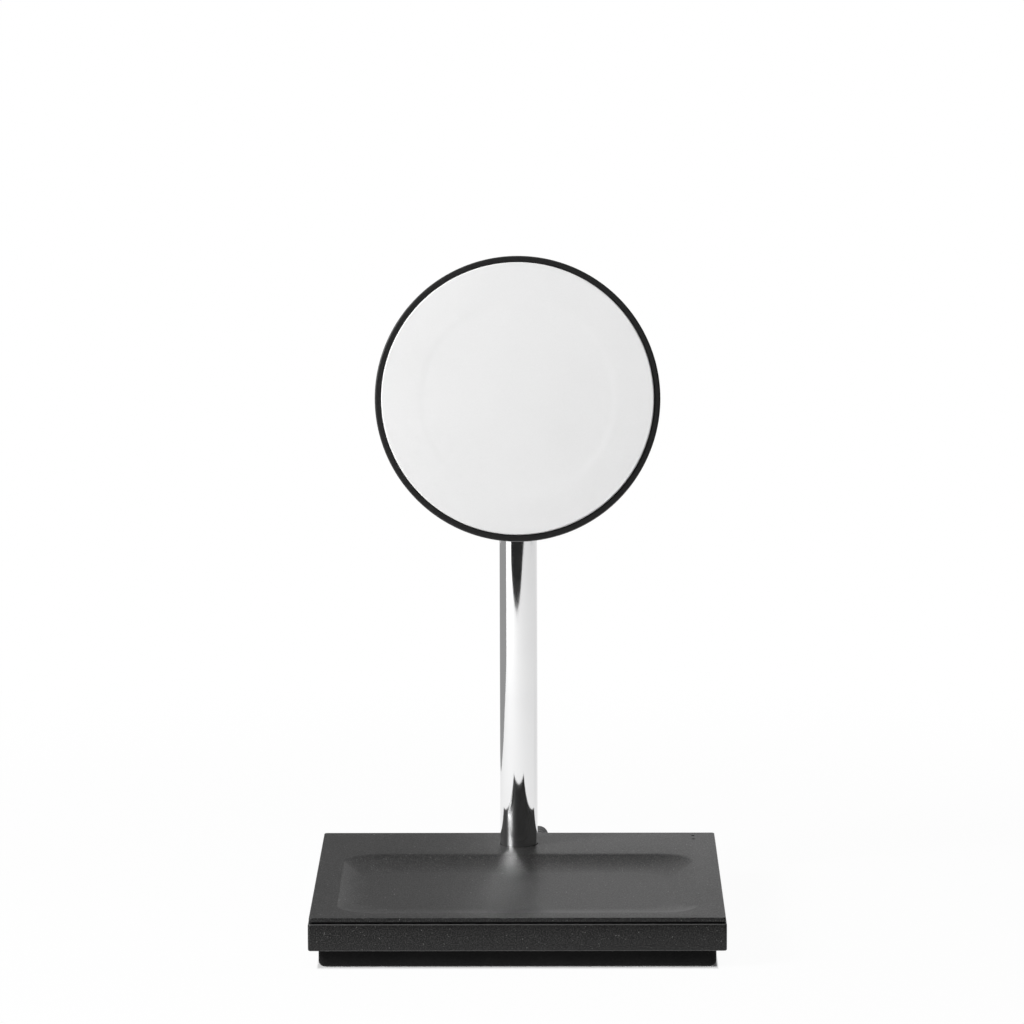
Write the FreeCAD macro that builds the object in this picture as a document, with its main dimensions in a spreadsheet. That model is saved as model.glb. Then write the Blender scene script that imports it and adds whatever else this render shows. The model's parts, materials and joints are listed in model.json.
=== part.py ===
import FreeCAD, Part
import os

import Sketcher

# A two-in-one magnetic wireless charger in millimetres, +Z up, front towards -Y.
# The origin is the middle of the underside of the square base, on the table.
# The base carries a dished charging tray and a chrome pole, and the pole carries a
# round magnetic head on a friction hinge. The head is drawn square to its own axis,
# with the hinge at its origin, and is then tilted into place.

SIZES = (
    ("base_side", "85", "width and depth of the square base"),
    ("base_corner", "0.6", "radius of the base's upright corners"),
    ("foot_height", "3.7", "height of the rubber foot"),
    ("foot_inset", "2.05", "how far the foot stands in from the body's sides"),
    ("foot_corner", "1.4", "radius of the foot's upright corners"),
    ("foot_wall", "1.5", "side wall of the foot"),
    ("foot_floor", "0.7", "rubber under the ballast plate"),
    ("foot_round", "1.1", "rounding of the foot's lower edge"),
    ("body_height", "5.6", "height of the body's side walls"),
    ("body_wall", "1.6", "side wall of the body"),
    ("body_floor", "1.3", "floor of the body"),
    ("shadow_gap", "0.5", "height of the groove between body and cover"),
    ("shadow_depth", "0.8", "depth of the groove between body and cover"),
    ("cover_inset", "0.2", "how far the cover's edge stands in from the body's sides"),
    ("cover_edge", "0.8", "thickness of the cover's edge"),
    ("cover_lip", "0.5", "height of the cover's locating lip"),
    ("cover_lip_wall", "1.0", "thickness of the cover's locating lip"),
    ("cover_round", "0.25", "rounding of the cover's upper edge"),
    ("tray_inset", "5.05", "from the cover's side and front edges to the tray's lip"),
    ("tray_back", "21.8", "from the cover's back edge to the tray's lip"),
    ("tray_depth", "1.5", "depth of the tray"),
    ("tray_run", "6.5", "width of the tray's side and front slopes"),
    ("tray_back_run", "13", "width of the tray's back slope"),
    ("tray_corner", "7.5", "radius of the tray's corners"),
    ("tray_skin", "1.2", "thickness of the cover under the tray"),
    ("screw_inset", "8.5", "from the base's edge to the cover's screws"),
    ("rear_screw_inset", "17.7", "from the base's back edge to the rear cover screws"),
    ("screw_shank", "2", "thread diameter of the cover's screws"),
    ("screw_head", "4", "head diameter of the cover's screws"),
    ("screw_head_height", "1.4", "head height of the cover's screws"),
    ("screw_grip", "2.4", "length of thread in the cover's posts"),
    ("post_diameter", "4.6", "diameter of the cover's screw posts"),
    ("pole_from_back", "11.5", "from the base's back edge to the pole's axis"),
    ("pole_diameter", "8", "outside of the pole"),
    ("pole_bore", "5.4", "inside of the pole"),
    ("pole_shank", "6.6", "diameter of the pole's threaded lower end"),
    ("pole_hole_gap", "0.12", "gap round the pole in the cover"),
    ("nut_width", "11", "width of the pole's nut across its corners"),
    ("nut_height", "1.5", "height of the pole's nut"),
    ("seat_gap", "0.1", "clearance of pieces that are laid or bolted in place"),
    ("press_gap", "0.02", "clearance of pieces that are pressed or screwed in"),
    ("running_gap", "0.03", "radial clearance of the hinge pin in the knuckle"),
    ("closing_gap", "0.05", "gap that the cover's screws close as they pull tight"),
    ("coil_thickness", "1", "thickness of both charging coils"),
    ("ferrite_thickness", "0.8", "thickness of both ferrite shields"),
    ("tray_coil_outer", "40", "outside of the tray's coil"),
    ("tray_coil_inner", "17", "inside of the tray's coil"),
    ("ferrite_border", "1.5", "how far the tray's ferrite shield goes past its coil"),
    ("board_thickness", "1", "thickness of the circuit board"),
    ("board_standoff", "1", "height of the posts under the circuit board"),
    ("board_depth", "17.8", "size of the circuit board from front to back"),
    ("board_end_gap", "1.2", "from the cover's rear posts to the circuit board's ends"),
    ("board_wall_gap", "0.5", "from the circuit board to the body's back wall"),
    ("board_tab_margin", "2", "from the lamps to the end of the board's lamp tab"),
    ("board_tab_gap", "2.5", "from the cover's rear post to the board's lamp tab"),
    ("board_post", "3.6", "diameter of the posts under the circuit board"),
    ("notch_margin", "1", "gap round the gland's flange in the circuit board"),
    ("chip_side", "6", "width of the chips on the circuit board"),
    ("chip_height", "0.9", "height of the chips and the socket"),
    ("chip_inset", "10.5", "from the board's ends to the middle of the outer chips"),
    ("chip_pitch", "9", "between the two chips on the left"),
    ("socket_offset", "8.2", "from the pole's axis to the lead's socket"),
    ("socket_width", "3.8", "width of the lead's socket"),
    ("socket_depth", "4.4", "size of the lead's socket from front to back"),
    ("board_screw_shank", "1.4", "thread diameter of the board's screws"),
    ("board_screw_head", "2.6", "head diameter of the board's screws"),
    ("board_screw_head_height", "0.8", "head height of the board's screws"),
    ("board_screw_end_margin", "3.5", "from the board's ends to its screws"),
    ("board_screw_margin", "2.6", "from the board's long edges to its screws"),
    ("lamp_from_side", "4.9", "from the base's right edge to the indicator lamps"),
    ("guide_gap", "0.15", "gap between the light guide and the cover's locating lip"),
    ("lamp_spacing", "3.5", "between the two indicator lamps"),
    ("lamp_hole", "0.8", "diameter of the indicator lamps' holes"),
    ("lamp_diameter", "1.4", "diameter of the lamps on the circuit board"),
    ("lamp_height", "0.5", "height of the lamps on the circuit board"),
    ("guide_width", "1.8", "width of the light guide's bar"),
    ("guide_overhang", "0.7", "how far the light guide's bar goes past the lamps"),
    ("guide_corner", "0.5", "radius of the light guide's corners"),
    ("gland_offset", "4.2", "from the middle of the base to the cable gland"),
    ("gland_length", "15.2", "length of the gland behind the base"),
    ("gland_root", "4.8", "diameter of the gland at the base"),
    ("gland_end", "4.1", "diameter of the gland at its end"),
    ("gland_neck", "3.9", "diameter of the gland in the body's wall"),
    ("gland_bore", "3", "bore for the cable"),
    ("gland_flange", "7", "width of the gland's inner flange"),
    ("gland_flange_gap", "0.15", "gap above and below the gland's inner flange"),
    ("gland_flange_depth", "1.5", "thickness of the gland's inner flange"),
    ("gland_flange_corner", "0.8", "radius of the inner flange's corners"),
    ("gland_end_round", "0.45", "rounding of the gland's end"),
    ("gland_rib_count", "4", "relief grooves round the gland"),
    ("gland_rib_depth", "0.4", "depth of the relief grooves"),
    ("hinge_height", "106.4", "height of the hinge axis"),
    ("head_tilt", "10", "degrees the head leans back at rest"),
    ("swing_gap", "1.1", "gap between the knuckle and the hinge bracket's plate"),
    ("head_diameter", "60", "outside of the head"),
    ("back_space_gap", "0.3", "gap between the bracket's screws and the coil carrier"),
    ("head_wall", "1.5", "back wall of the head's housing"),
    ("head_back_round", "2.4", "rounding of the housing's back edge"),
    ("rim_width", "1.2", "width of the rim round the charging pad"),
    ("rim_round", "0.3", "rounding of the rim's front edges"),
    ("pad_gap", "0.15", "gap between the rim and the charging pad"),
    ("pad_proud", "0.4", "how far the charging pad stands out of the rim"),
    ("pad_thickness", "1.6", "thickness of the charging pad"),
    ("pad_round", "0.55", "rounding of the charging pad's front edge"),
    ("pad_ledge", "1.4", "width of the ledge under the charging pad"),
    ("magnet_count", "16", "magnets in the ring"),
    ("magnet_gap_angle", "1.7", "degrees between one magnet and the next"),
    ("magnet_side_gap", "0.4", "gap between the magnet ring and the housing"),
    ("magnet_width", "4", "width of the magnets across the ring"),
    ("magnet_thickness", "2.2", "thickness of the magnets"),
    ("yoke_thickness", "0.4", "thickness of the steel ring behind the magnets"),
    ("stack_step", "0.5", "step from magnets to plateau, ferrite shield and coil"),
    ("head_coil_inner", "20", "inside of the head's coil"),
    ("carrier_plate", "1", "thickness of the coil carrier's plate"),
    ("rib_inset", "2", "from the magnets' outside in to the housing's support ring"),
    ("rib_wall", "2", "thickness of the housing's support ring"),
    ("bracket_diameter", "24", "diameter of the hinge bracket's plate"),
    ("bracket_plate", "2", "thickness of the hinge bracket's plate"),
    ("ear_thickness", "3.4", "thickness of the hinge bracket's ears"),
    ("bracket_round", "0.8", "rounding of the hinge bracket's plate"),
    ("ear_round", "0.5", "rounding of the ears' outer edges"),
    ("ear_radius", "5", "radius of the ears round the hinge axis"),
    ("ear_shoulder", "0.3", "how far the ears' sides stand in from their round ends"),
    ("knuckle_width", "6", "width of the pole's hinge knuckle"),
    ("knuckle_radius", "5", "radius of the knuckle round the hinge axis"),
    ("knuckle_neck", "5.2", "depth of the knuckle's neck"),
    ("knuckle_round", "0.4", "rounding of the knuckle's eye"),
    ("collar_height", "0.6", "height of the knuckle's collar on the pole"),
    ("collar_gap", "0.4", "gap between the ears' round ends and the knuckle's collar"),
    ("spigot_length", "9", "length of the knuckle's spigot in the pole"),
    ("washer_thickness", "0.5", "thickness of the friction washers"),
    ("washer_diameter", "9", "outside of the friction washers"),
    ("hinge_play", "0.05", "side play between knuckle, washer and ear"),
    ("pin_diameter", "4", "outside of the hollow hinge pin"),
    ("pin_bore", "2.6", "inside of the hollow hinge pin"),
    ("cap_diameter", "6.2", "diameter of the hinge caps"),
    ("cap_thickness", "0.75", "thickness of the hinge caps"),
    ("cap_round", "0.25", "rounding of the hinge caps"),
    ("bracket_screw_ring", "9", "radius of the ring of bracket screws"),
    ("bracket_screw_shank", "1.8", "thread diameter of the bracket's screws"),
    ("bracket_screw_head", "3.4", "head diameter of the bracket's screws"),
    ("bracket_screw_head_height", "0.8", "head height of the bracket's screws"),
    ("bracket_screw_grip", "1.5", "length of thread in the bracket"),
    ("pole_lead_diameter", "1.8", "diameter of the lead in the pole"),
    ("pole_lead_bend", "4", "radius of the lead's bend at the foot of the pole"),
    ("head_lead_diameter", "1.4", "diameter of the lead in the head"),
    ("head_lead_bend", "1.5", "radius of the lead's bend in the hinge"),
    ("lead_end_gap", "0.3", "gap between the ends of the two leads in the hinge"),
    ("lead_channel", "2.2", "diameter of the channels for the leads"),
)

LEVELS = (
    ("half_side", "Sizes.base_side / 2"),
    ("foot_side", "Sizes.base_side - 2 * Sizes.foot_inset"),
    ("foot_inner", "foot_side - 2 * Sizes.foot_wall"),
    ("body_inner", "Sizes.base_side - 2 * Sizes.body_wall"),
    ("floor_top", "Sizes.foot_height + Sizes.body_floor"),
    ("wall_top", "Sizes.foot_height + Sizes.body_height"),
    ("cover_seat", "wall_top + Sizes.shadow_gap"),
    ("cover_top", "cover_seat + Sizes.cover_edge"),
    ("tray_floor", "cover_top - Sizes.tray_depth"),
    ("tray_underside", "tray_floor - Sizes.tray_skin"),
    ("screw_seat", "Sizes.foot_floor + Sizes.screw_head_height + Sizes.seat_gap"),
    ("cover_half", "half_side - Sizes.cover_inset"),
    ("tray_half", "cover_half - Sizes.tray_inset"),
    ("tray_length", "tray_half + cover_half - Sizes.tray_back"),
    ("tray_middle", "(cover_half - Sizes.tray_back - tray_half) / 2"),
    ("coil_middle", "tray_middle + (Sizes.tray_run - Sizes.tray_back_run) / 2"),
    ("pole_y", "half_side - Sizes.pole_from_back"),
    ("screw_x", "half_side - Sizes.screw_inset"),
    ("screw_rear", "half_side - Sizes.rear_screw_inset"),
    ("post_foot", "floor_top + Sizes.closing_gap"),
    ("board_bottom", "floor_top + Sizes.board_standoff"),
    ("board_top", "board_bottom + Sizes.board_thickness"),
    ("board_rear", "half_side - Sizes.body_wall - Sizes.board_wall_gap"),
    ("board_front", "board_rear - Sizes.board_depth"),
    ("board_half", "screw_x - Sizes.post_diameter / 2 - Sizes.board_end_gap"),
    ("tab_front", "screw_rear + Sizes.post_diameter / 2 + Sizes.board_tab_gap"),
    ("board_screw_x", "board_half - Sizes.board_screw_end_margin"),
    ("outer_chip_x", "board_half - Sizes.chip_inset"),
    ("lip_half", "(body_inner - 3 * Sizes.seat_gap) / 2"),
    ("lip_inner_half", "lip_half - Sizes.cover_lip_wall"),
    ("guide_length", "Sizes.lamp_spacing + 2 * Sizes.guide_overhang"),
    ("lamp_x", "half_side - Sizes.lamp_from_side"),
    ("lamp_y", "lip_inner_half - Sizes.guide_gap - guide_length / 2"),
    ("gland_room", "wall_top - Sizes.cover_lip - floor_top"),
    ("gland_height", "floor_top + gland_room / 2"),
    ("ferrite_side", "Sizes.tray_coil_outer + 2 * Sizes.ferrite_border"),
    ("ferrite_bottom", "tray_underside - Sizes.coil_thickness - Sizes.ferrite_thickness"),
    ("collar_drop", "Sizes.ear_radius + Sizes.collar_gap"),
    ("collar_bottom", "Sizes.hinge_height - collar_drop - Sizes.collar_height"),
    ("lead_level", "board_top + Sizes.pole_lead_diameter / 2 + Sizes.seat_gap"),
    ("bracket_back", "Sizes.knuckle_radius + Sizes.swing_gap"),
    ("head_back", "bracket_back + Sizes.bracket_plate"),
    ("head_floor", "head_back + Sizes.head_wall"),
    ("carrier_back", "head_floor + Sizes.bracket_screw_head_height + Sizes.back_space_gap"),
    ("carrier_front", "carrier_back + Sizes.carrier_plate"),
    ("magnet_back", "carrier_front + Sizes.yoke_thickness"),
    ("magnet_front", "magnet_back + Sizes.magnet_thickness"),
    ("pad_seat", "magnet_front + Sizes.seat_gap"),
    ("pad_front", "pad_seat + Sizes.pad_thickness"),
    ("rim_front", "pad_front - Sizes.pad_proud"),
    ("pad_radius", "Sizes.head_diameter / 2 - Sizes.rim_width - Sizes.pad_gap"),
    ("cavity_radius", "Sizes.head_diameter / 2 - Sizes.rim_width - Sizes.pad_ledge"),
    ("magnet_outer", "2 * (cavity_radius - Sizes.magnet_side_gap)"),
    ("magnet_inner", "magnet_outer - 2 * Sizes.magnet_width"),
    ("magnet_angle", "360 / Sizes.magnet_count - Sizes.magnet_gap_angle"),
    ("plateau", "magnet_inner - 2 * Sizes.stack_step"),
    ("ferrite_diameter", "plateau - 2 * Sizes.stack_step"),
    ("head_coil_outer", "ferrite_diameter - 2 * Sizes.stack_step"),
    ("rib_outer", "magnet_outer - 2 * Sizes.rib_inset"),
    ("rib_inner", "rib_outer - 2 * Sizes.rib_wall"),
    ("coil_back", "magnet_front - Sizes.coil_thickness"),
    ("ferrite_back", "coil_back - Sizes.ferrite_thickness"),
    ("washer_inner", "Sizes.knuckle_width / 2 + Sizes.hinge_play"),
    ("ear_inner", "washer_inner + Sizes.washer_thickness + Sizes.hinge_play"),
    ("ear_outer", "ear_inner + Sizes.ear_thickness"),
    ("ear_middle", "(ear_inner + ear_outer) / 2"),
    ("pin_half", "ear_outer - Sizes.cap_thickness - Sizes.hinge_play"),
    ("head_turn", "90 - Sizes.head_tilt"),
)

doc = FreeCAD.newDocument("wireless_charger")
sizes = doc.addObject("Spreadsheet::Sheet", "Sizes")
for row, (alias, text, meaning) in enumerate(SIZES, start=1):
    sizes.set("A%d" % row, alias)
    sizes.set("B%d" % row, text)
    sizes.set("C%d" % row, meaning)
    sizes.setAlias("B%d" % row, alias)
doc.recompute()
levels = doc.addObject("Spreadsheet::Sheet", "Levels")
for row, (alias, formula) in enumerate(LEVELS, start=1):
    levels.set("A%d" % row, alias)
    levels.set("B%d" % row, "=" + formula)
    levels.setAlias("B%d" % row, alias)
doc.recompute()

pieces = []


def value(text):
    """The number that an expression on the two sheets gives."""
    return float(sizes.evalExpression(text))


def bind(target, path, text):
    """Tie one property of an object to an expression on the sheets."""
    target.setExpression(path, text)


def place(piece, x="0", y="0", z="0", turn="0"):
    """Put a finished piece in place, turned about X first."""
    if turn != "0":
        piece.Placement = FreeCAD.Placement(
            FreeCAD.Vector(), FreeCAD.Rotation(FreeCAD.Vector(1, 0, 0), value(turn))
        )
        bind(piece, "Placement.Rotation.Angle", turn)
    for axis, text in zip("xyz", (x, y, z)):
        bind(piece, "Placement.Base." + axis, text)


def place_on_head(piece):
    """Put a piece that is drawn about the hinge axis into the tilted head."""
    place(piece, y="Levels.pole_y", z="Sizes.hinge_height", turn="Levels.head_turn")


def new_body(label):
    """An empty body that will become one piece of the charger."""
    body = doc.addObject("PartDesign::Body", label)
    body.Label = label
    pieces.append(body)
    return body


def new_sketch(body, name, role="XY_Plane", x="0", y="0", z="0"):
    """A sketch on one of the body's own planes, shifted in that plane's own axes."""
    sketch = body.newObject("Sketcher::SketchObject", name)
    plane = next(item for item in body.Origin.OriginFeatures if item.Role == role)
    sketch.AttachmentSupport = [(plane, "")]
    sketch.MapMode = "FlatFace"
    for axis, text in zip("xyz", (x, y, z)):
        if text != "0":
            bind(sketch, "AttachmentOffset.Base." + axis, text)
    return sketch


def dimension(sketch, constraint, text):
    """Add a dimension to a sketch and tie it to the sheets."""
    index = sketch.addConstraint(constraint)
    bind(sketch, "Constraints[%d]" % index, text)


def draw_circles(sketch, diameter, centres=(("0", "0"),)):
    """Circles of one diameter, each with its centre given by two expressions."""
    for x, y in centres:
        middle = FreeCAD.Vector(value(x), value(y), 0)
        circle = sketch.addGeometry(
            Part.Circle(middle, FreeCAD.Vector(0, 0, 1), value(diameter) / 2)
        )
        dimension(sketch, Sketcher.Constraint("Diameter", circle, value(diameter)), diameter)
        dimension(sketch, Sketcher.Constraint("DistanceX", -1, 1, circle, 3, middle.x), x)
        dimension(sketch, Sketcher.Constraint("DistanceY", -1, 1, circle, 3, middle.y), y)


def draw_outline(sketch, corners):
    """A closed outline of straight lines, each corner given by two expressions."""
    points = [FreeCAD.Vector(value(x), value(y), 0) for x, y in corners]
    count = len(points)
    lines = [
        sketch.addGeometry(Part.LineSegment(points[i], points[(i + 1) % count]))
        for i in range(count)
    ]
    for i in range(count):
        sketch.addConstraint(
            Sketcher.Constraint("Coincident", lines[i], 2, lines[(i + 1) % count], 1)
        )
    for line, point, (x, y) in zip(lines, points, corners):
        dimension(sketch, Sketcher.Constraint("DistanceX", -1, 1, line, 1, point.x), x)
        dimension(sketch, Sketcher.Constraint("DistanceY", -1, 1, line, 1, point.y), y)


def draw_box(sketch, left, right, low, high):
    """A rectangle between two pairs of expressions."""
    draw_outline(sketch, ((left, low), (right, low), (right, high), (left, high)))


def draw_rounded_square(sketch, width, depth, radius):
    """A rectangle with round corners, centred on the sketch."""
    half_x = value(width) / 2
    half_y = value(depth) / 2
    corner = value(radius)
    quarters = ((1, 1, 0), (-1, 1, 90), (-1, -1, 180), (1, -1, 270))
    arcs = []
    for sign_x, sign_y, start in quarters:
        middle = FreeCAD.Vector(sign_x * (half_x - corner), sign_y * (half_y - corner), 0)
        circle = Part.Circle(middle, FreeCAD.Vector(0, 0, 1), corner)
        begin = FreeCAD.Units.Quantity(start, FreeCAD.Units.Angle).getValueAs("rad")
        finish = FreeCAD.Units.Quantity(start + 90, FreeCAD.Units.Angle).getValueAs("rad")
        arcs.append(sketch.addGeometry(Part.ArcOfCircle(circle, float(begin), float(finish))))
    lines = []
    for i in range(4):
        first = sketch.getPoint(arcs[i], 2)
        second = sketch.getPoint(arcs[(i + 1) % 4], 1)
        lines.append(sketch.addGeometry(Part.LineSegment(first, second)))
    for i in range(4):
        sketch.addConstraint(Sketcher.Constraint("Tangent", arcs[i], 2, lines[i], 1))
        sketch.addConstraint(Sketcher.Constraint("Tangent", lines[i], 2, arcs[(i + 1) % 4], 1))
    for i in range(3):
        sketch.addConstraint(Sketcher.Constraint("Equal", arcs[i], arcs[i + 1]))
    sketch.addConstraint(Sketcher.Constraint("Horizontal", lines[0]))
    sketch.addConstraint(Sketcher.Constraint("Vertical", lines[1]))
    sketch.addConstraint(Sketcher.Constraint("Symmetric", arcs[0], 3, arcs[2], 3, -1, 1))
    dimension(sketch, Sketcher.Constraint("Radius", arcs[0], corner), radius)
    dimension(
        sketch,
        Sketcher.Constraint("DistanceX", arcs[1], 3, arcs[0], 3, 2 * (half_x - corner)),
        "%s - 2 * (%s)" % (width, radius),
    )
    dimension(
        sketch,
        Sketcher.Constraint("DistanceY", arcs[3], 3, arcs[0], 3, 2 * (half_y - corner)),
        "%s - 2 * (%s)" % (depth, radius),
    )


def draw_tab(sketch, radius, half_width, reach):
    """A tab that is round about the sketch's origin and runs straight to a given reach."""
    bow = value(radius)
    half = value(half_width)
    end = value(reach)
    away = -1 if end > 0 else 1
    join = (bow ** 2 - half ** 2) ** 0.5 if half < bow else 0.0
    round_end = Part.Arc(
        FreeCAD.Vector(-half, -away * join, 0),
        FreeCAD.Vector(0, away * bow, 0),
        FreeCAD.Vector(half, -away * join, 0),
    )
    arc = sketch.addGeometry(round_end)
    ends = (2, 1) if sketch.getPoint(arc, 1).x > 0 else (1, 2)
    corners = (
        sketch.getPoint(arc, ends[1]),
        FreeCAD.Vector(half, end, 0),
        FreeCAD.Vector(-half, end, 0),
        sketch.getPoint(arc, ends[0]),
    )
    lines = [
        sketch.addGeometry(Part.LineSegment(corners[i], corners[i + 1])) for i in range(3)
    ]
    sketch.addConstraint(Sketcher.Constraint("Coincident", arc, ends[1], lines[0], 1))
    sketch.addConstraint(Sketcher.Constraint("Coincident", lines[0], 2, lines[1], 1))
    sketch.addConstraint(Sketcher.Constraint("Coincident", lines[1], 2, lines[2], 1))
    sketch.addConstraint(Sketcher.Constraint("Coincident", lines[2], 2, arc, ends[0]))
    sketch.addConstraint(Sketcher.Constraint("Coincident", arc, 3, -1, 1))
    dimension(sketch, Sketcher.Constraint("Radius", arc, bow), radius)
    dimension(sketch, Sketcher.Constraint("DistanceX", -1, 1, lines[1], 1, half), half_width)
    dimension(sketch, Sketcher.Constraint("DistanceX", lines[1], 2, -1, 1, half), half_width)
    dimension(sketch, Sketcher.Constraint("DistanceY", -1, 1, lines[1], 1, end), reach)
    dimension(sketch, Sketcher.Constraint("DistanceY", -1, 1, lines[1], 2, end), reach)
    sketch.addConstraint(Sketcher.Constraint("Vertical", lines[0]))
    sketch.addConstraint(Sketcher.Constraint("Vertical", lines[2]))


def add(body, kind, name, sketch):
    """A feature of the body that is made from one sketch."""
    feature = body.newObject("PartDesign::" + kind, name)
    feature.Profile = sketch
    sketch.Visibility = False
    return feature


def pad(body, name, sketch, length, reverse=False, symmetric=False):
    """Material grown from a sketch."""
    feature = add(body, "Pad", name, sketch)
    bind(feature, "Length", length)
    feature.Reversed = reverse
    if symmetric:
        feature.SideType = "Symmetric"
    doc.recompute()
    return feature


def cut(body, name, sketch, length, reverse=False, symmetric=False):
    """Material cut away from a sketch, which has to take something off."""
    before = body.Shape.Volume
    feature = add(body, "Pocket", name, sketch)
    bind(feature, "Length", length)
    feature.Reversed = reverse
    if symmetric:
        feature.SideType = "Symmetric"
    doc.recompute()
    if not body.Shape.Volume < before:
        raise RuntimeError("%s of %s cuts nothing" % (name, body.Label))
    return feature


def revolve(body, name, sketch):
    """A turned form about the sketch's upright axis."""
    feature = add(body, "Revolution", name, sketch)
    feature.ReferenceAxis = (sketch, ["V_Axis"])
    feature.Angle = 360
    doc.recompute()
    return feature


def fillet(body, name, radius, chosen):
    """Round the edges of the body that a test picks."""
    base = body.Tip
    names = [
        "Edge%d" % (index + 1) for index, edge in enumerate(base.Shape.Edges) if chosen(edge)
    ]
    if not names:
        raise RuntimeError("%s of %s finds no edge" % (name, body.Label))
    feature = body.newObject("PartDesign::Fillet", name)
    feature.Base = (base, names)
    bind(feature, "Radius", radius)
    doc.recompute()
    return feature


def lies_at(edge, level):
    """Does the whole edge lie at one height of its body?"""
    box = edge.BoundBox
    return abs(box.ZMin - level) < 1e-4 and abs(box.ZMax - level) < 1e-4


def stands_at(edge, offset):
    """Does the whole edge lie at one offset to the left or right of its body's middle?"""
    box = edge.BoundBox
    low = min(abs(box.XMin), abs(box.XMax))
    high = max(abs(box.XMin), abs(box.XMax))
    return abs(low - offset) < 1e-4 and abs(high - offset) < 1e-4


def is_circle(edge, radius):
    """Is the edge an arc of that radius?"""
    return hasattr(edge.Curve, "Radius") and abs(edge.Curve.Radius - radius) < 1e-4


def screw_set(label, places, under_head, head, head_height, shank, length):
    """A group of like screws, heads down, each head's seat at the same height."""
    screws = []
    for number, (x, y) in enumerate(places, start=1):
        parts = []
        for kind, diameter, height, start in (
            ("head", head, head_height, "%s - %s" % (under_head, head_height)),
            ("shank", shank, length, under_head),
        ):
            part = doc.addObject("Part::Cylinder", "%s_%s_%d" % (label, kind, number))
            bind(part, "Radius", "%s / 2" % diameter)
            bind(part, "Height", height)
            place(part, x, y, start)
            parts.append(part)
        screw = doc.addObject("Part::MultiFuse", "%s_%d" % (label, number))
        screw.Shapes = parts
        screw.Refine = True
        screws.append(screw)
    group = doc.addObject("Part::Compound", label)
    group.Links = screws
    group.Label = label
    pieces.append(group)
    return group


def grow_ring(body, name, outer, inner, level, thickness):
    """A flat ring of the body, grown upwards from a given height."""
    sketch = new_sketch(body, name + "_outline", z=level)
    draw_circles(sketch, outer)
    draw_circles(sketch, inner)
    return pad(body, name, sketch, thickness)


# The rubber foot is a shallow pan with a rounded lower edge that holds the ballast plate.
foot = new_body("foot")
sketch = new_sketch(foot, "foot_outline")
draw_rounded_square(sketch, "Levels.foot_side", "Levels.foot_side", "Sizes.foot_corner")
pad(foot, "foot_block", sketch, "Sizes.foot_height")
fillet(foot, "foot_lower_edge", "Sizes.foot_round", lambda edge: lies_at(edge, 0))
sketch = new_sketch(foot, "foot_pan_outline", z="Sizes.foot_height")
draw_rounded_square(sketch, "Levels.foot_inner", "Levels.foot_inner", "Sizes.foot_corner / 2")
cut(foot, "foot_pan", sketch, "Sizes.foot_height - Sizes.foot_floor")

screw_places = [
    (x, y)
    for x in ("-Levels.screw_x", "Levels.screw_x")
    for y in ("-Levels.screw_x", "Levels.screw_rear")
]
pole_place = (("0", "Levels.pole_y"),)

# The ballast plate is steel. The pole's nut and the cover's screws pull against it.
ballast_plate = new_body("ballast_plate")
sketch = new_sketch(ballast_plate, "ballast_outline", z="Sizes.foot_floor")
ballast_side = "Levels.foot_inner - 2 * Sizes.seat_gap"
draw_rounded_square(sketch, ballast_side, ballast_side, "Sizes.foot_corner / 2")
pad(ballast_plate, "ballast_slab", sketch, "Sizes.foot_height - Sizes.foot_floor")
sketch = new_sketch(ballast_plate, "ballast_holes", z="Sizes.foot_height")
draw_circles(sketch, "Sizes.pole_shank + 2 * Sizes.seat_gap", pole_place)
draw_circles(sketch, "Sizes.screw_shank + 2 * Sizes.seat_gap", screw_places)
cut(ballast_plate, "ballast_bores", sketch, "Sizes.foot_height")
sketch = new_sketch(ballast_plate, "nut_seat_outline", z="Sizes.foot_floor")
draw_circles(sketch, "Sizes.nut_width + 4 * Sizes.seat_gap", pole_place)
cut(ballast_plate, "nut_seat", sketch, "Sizes.nut_height + Sizes.seat_gap", reverse=True)
sketch = new_sketch(ballast_plate, "screw_seat_outline", z="Sizes.foot_floor")
draw_circles(sketch, "Sizes.screw_head + 4 * Sizes.seat_gap", screw_places)
cut(ballast_plate, "screw_seats", sketch, "Levels.screw_seat - Sizes.foot_floor", reverse=True)

# The body is a moulded tub with posts for the circuit board and a pillar under the coil.
board_screw_places = [
    (x, y)
    for x in ("-Levels.board_screw_x", "Levels.board_screw_x")
    for y in (
        "Levels.board_front + Sizes.board_screw_margin",
        "Levels.board_rear - Sizes.board_screw_margin",
    )
]
base_body = new_body("base_body")
sketch = new_sketch(base_body, "body_outline", z="Sizes.foot_height")
draw_rounded_square(sketch, "Sizes.base_side", "Sizes.base_side", "Sizes.base_corner")
pad(base_body, "body_block", sketch, "Sizes.body_height")
sketch = new_sketch(base_body, "body_tub_outline", z="Levels.wall_top")
draw_rounded_square(sketch, "Levels.body_inner", "Levels.body_inner", "Sizes.base_corner")
cut(base_body, "body_tub", sketch, "Sizes.body_height - Sizes.body_floor")
sketch = new_sketch(base_body, "board_post_outline", z="Levels.floor_top")
draw_circles(sketch, "Sizes.board_post", board_screw_places)
pad(base_body, "board_posts", sketch, "Sizes.board_standoff")
sketch = new_sketch(base_body, "coil_pillar_outline", y="Levels.coil_middle", z="Levels.floor_top")
draw_circles(sketch, "Sizes.tray_coil_outer")
draw_circles(sketch, "Sizes.tray_coil_inner")
coil_pillar_height = "Levels.ferrite_bottom - Levels.floor_top - Sizes.closing_gap"
pad(base_body, "coil_pillar", sketch, coil_pillar_height)
sketch = new_sketch(base_body, "body_holes", z="Levels.floor_top")
draw_circles(sketch, "Sizes.pole_shank + 2 * Sizes.seat_gap", pole_place)
draw_circles(sketch, "Sizes.screw_shank + 2 * Sizes.seat_gap", screw_places)
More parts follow.
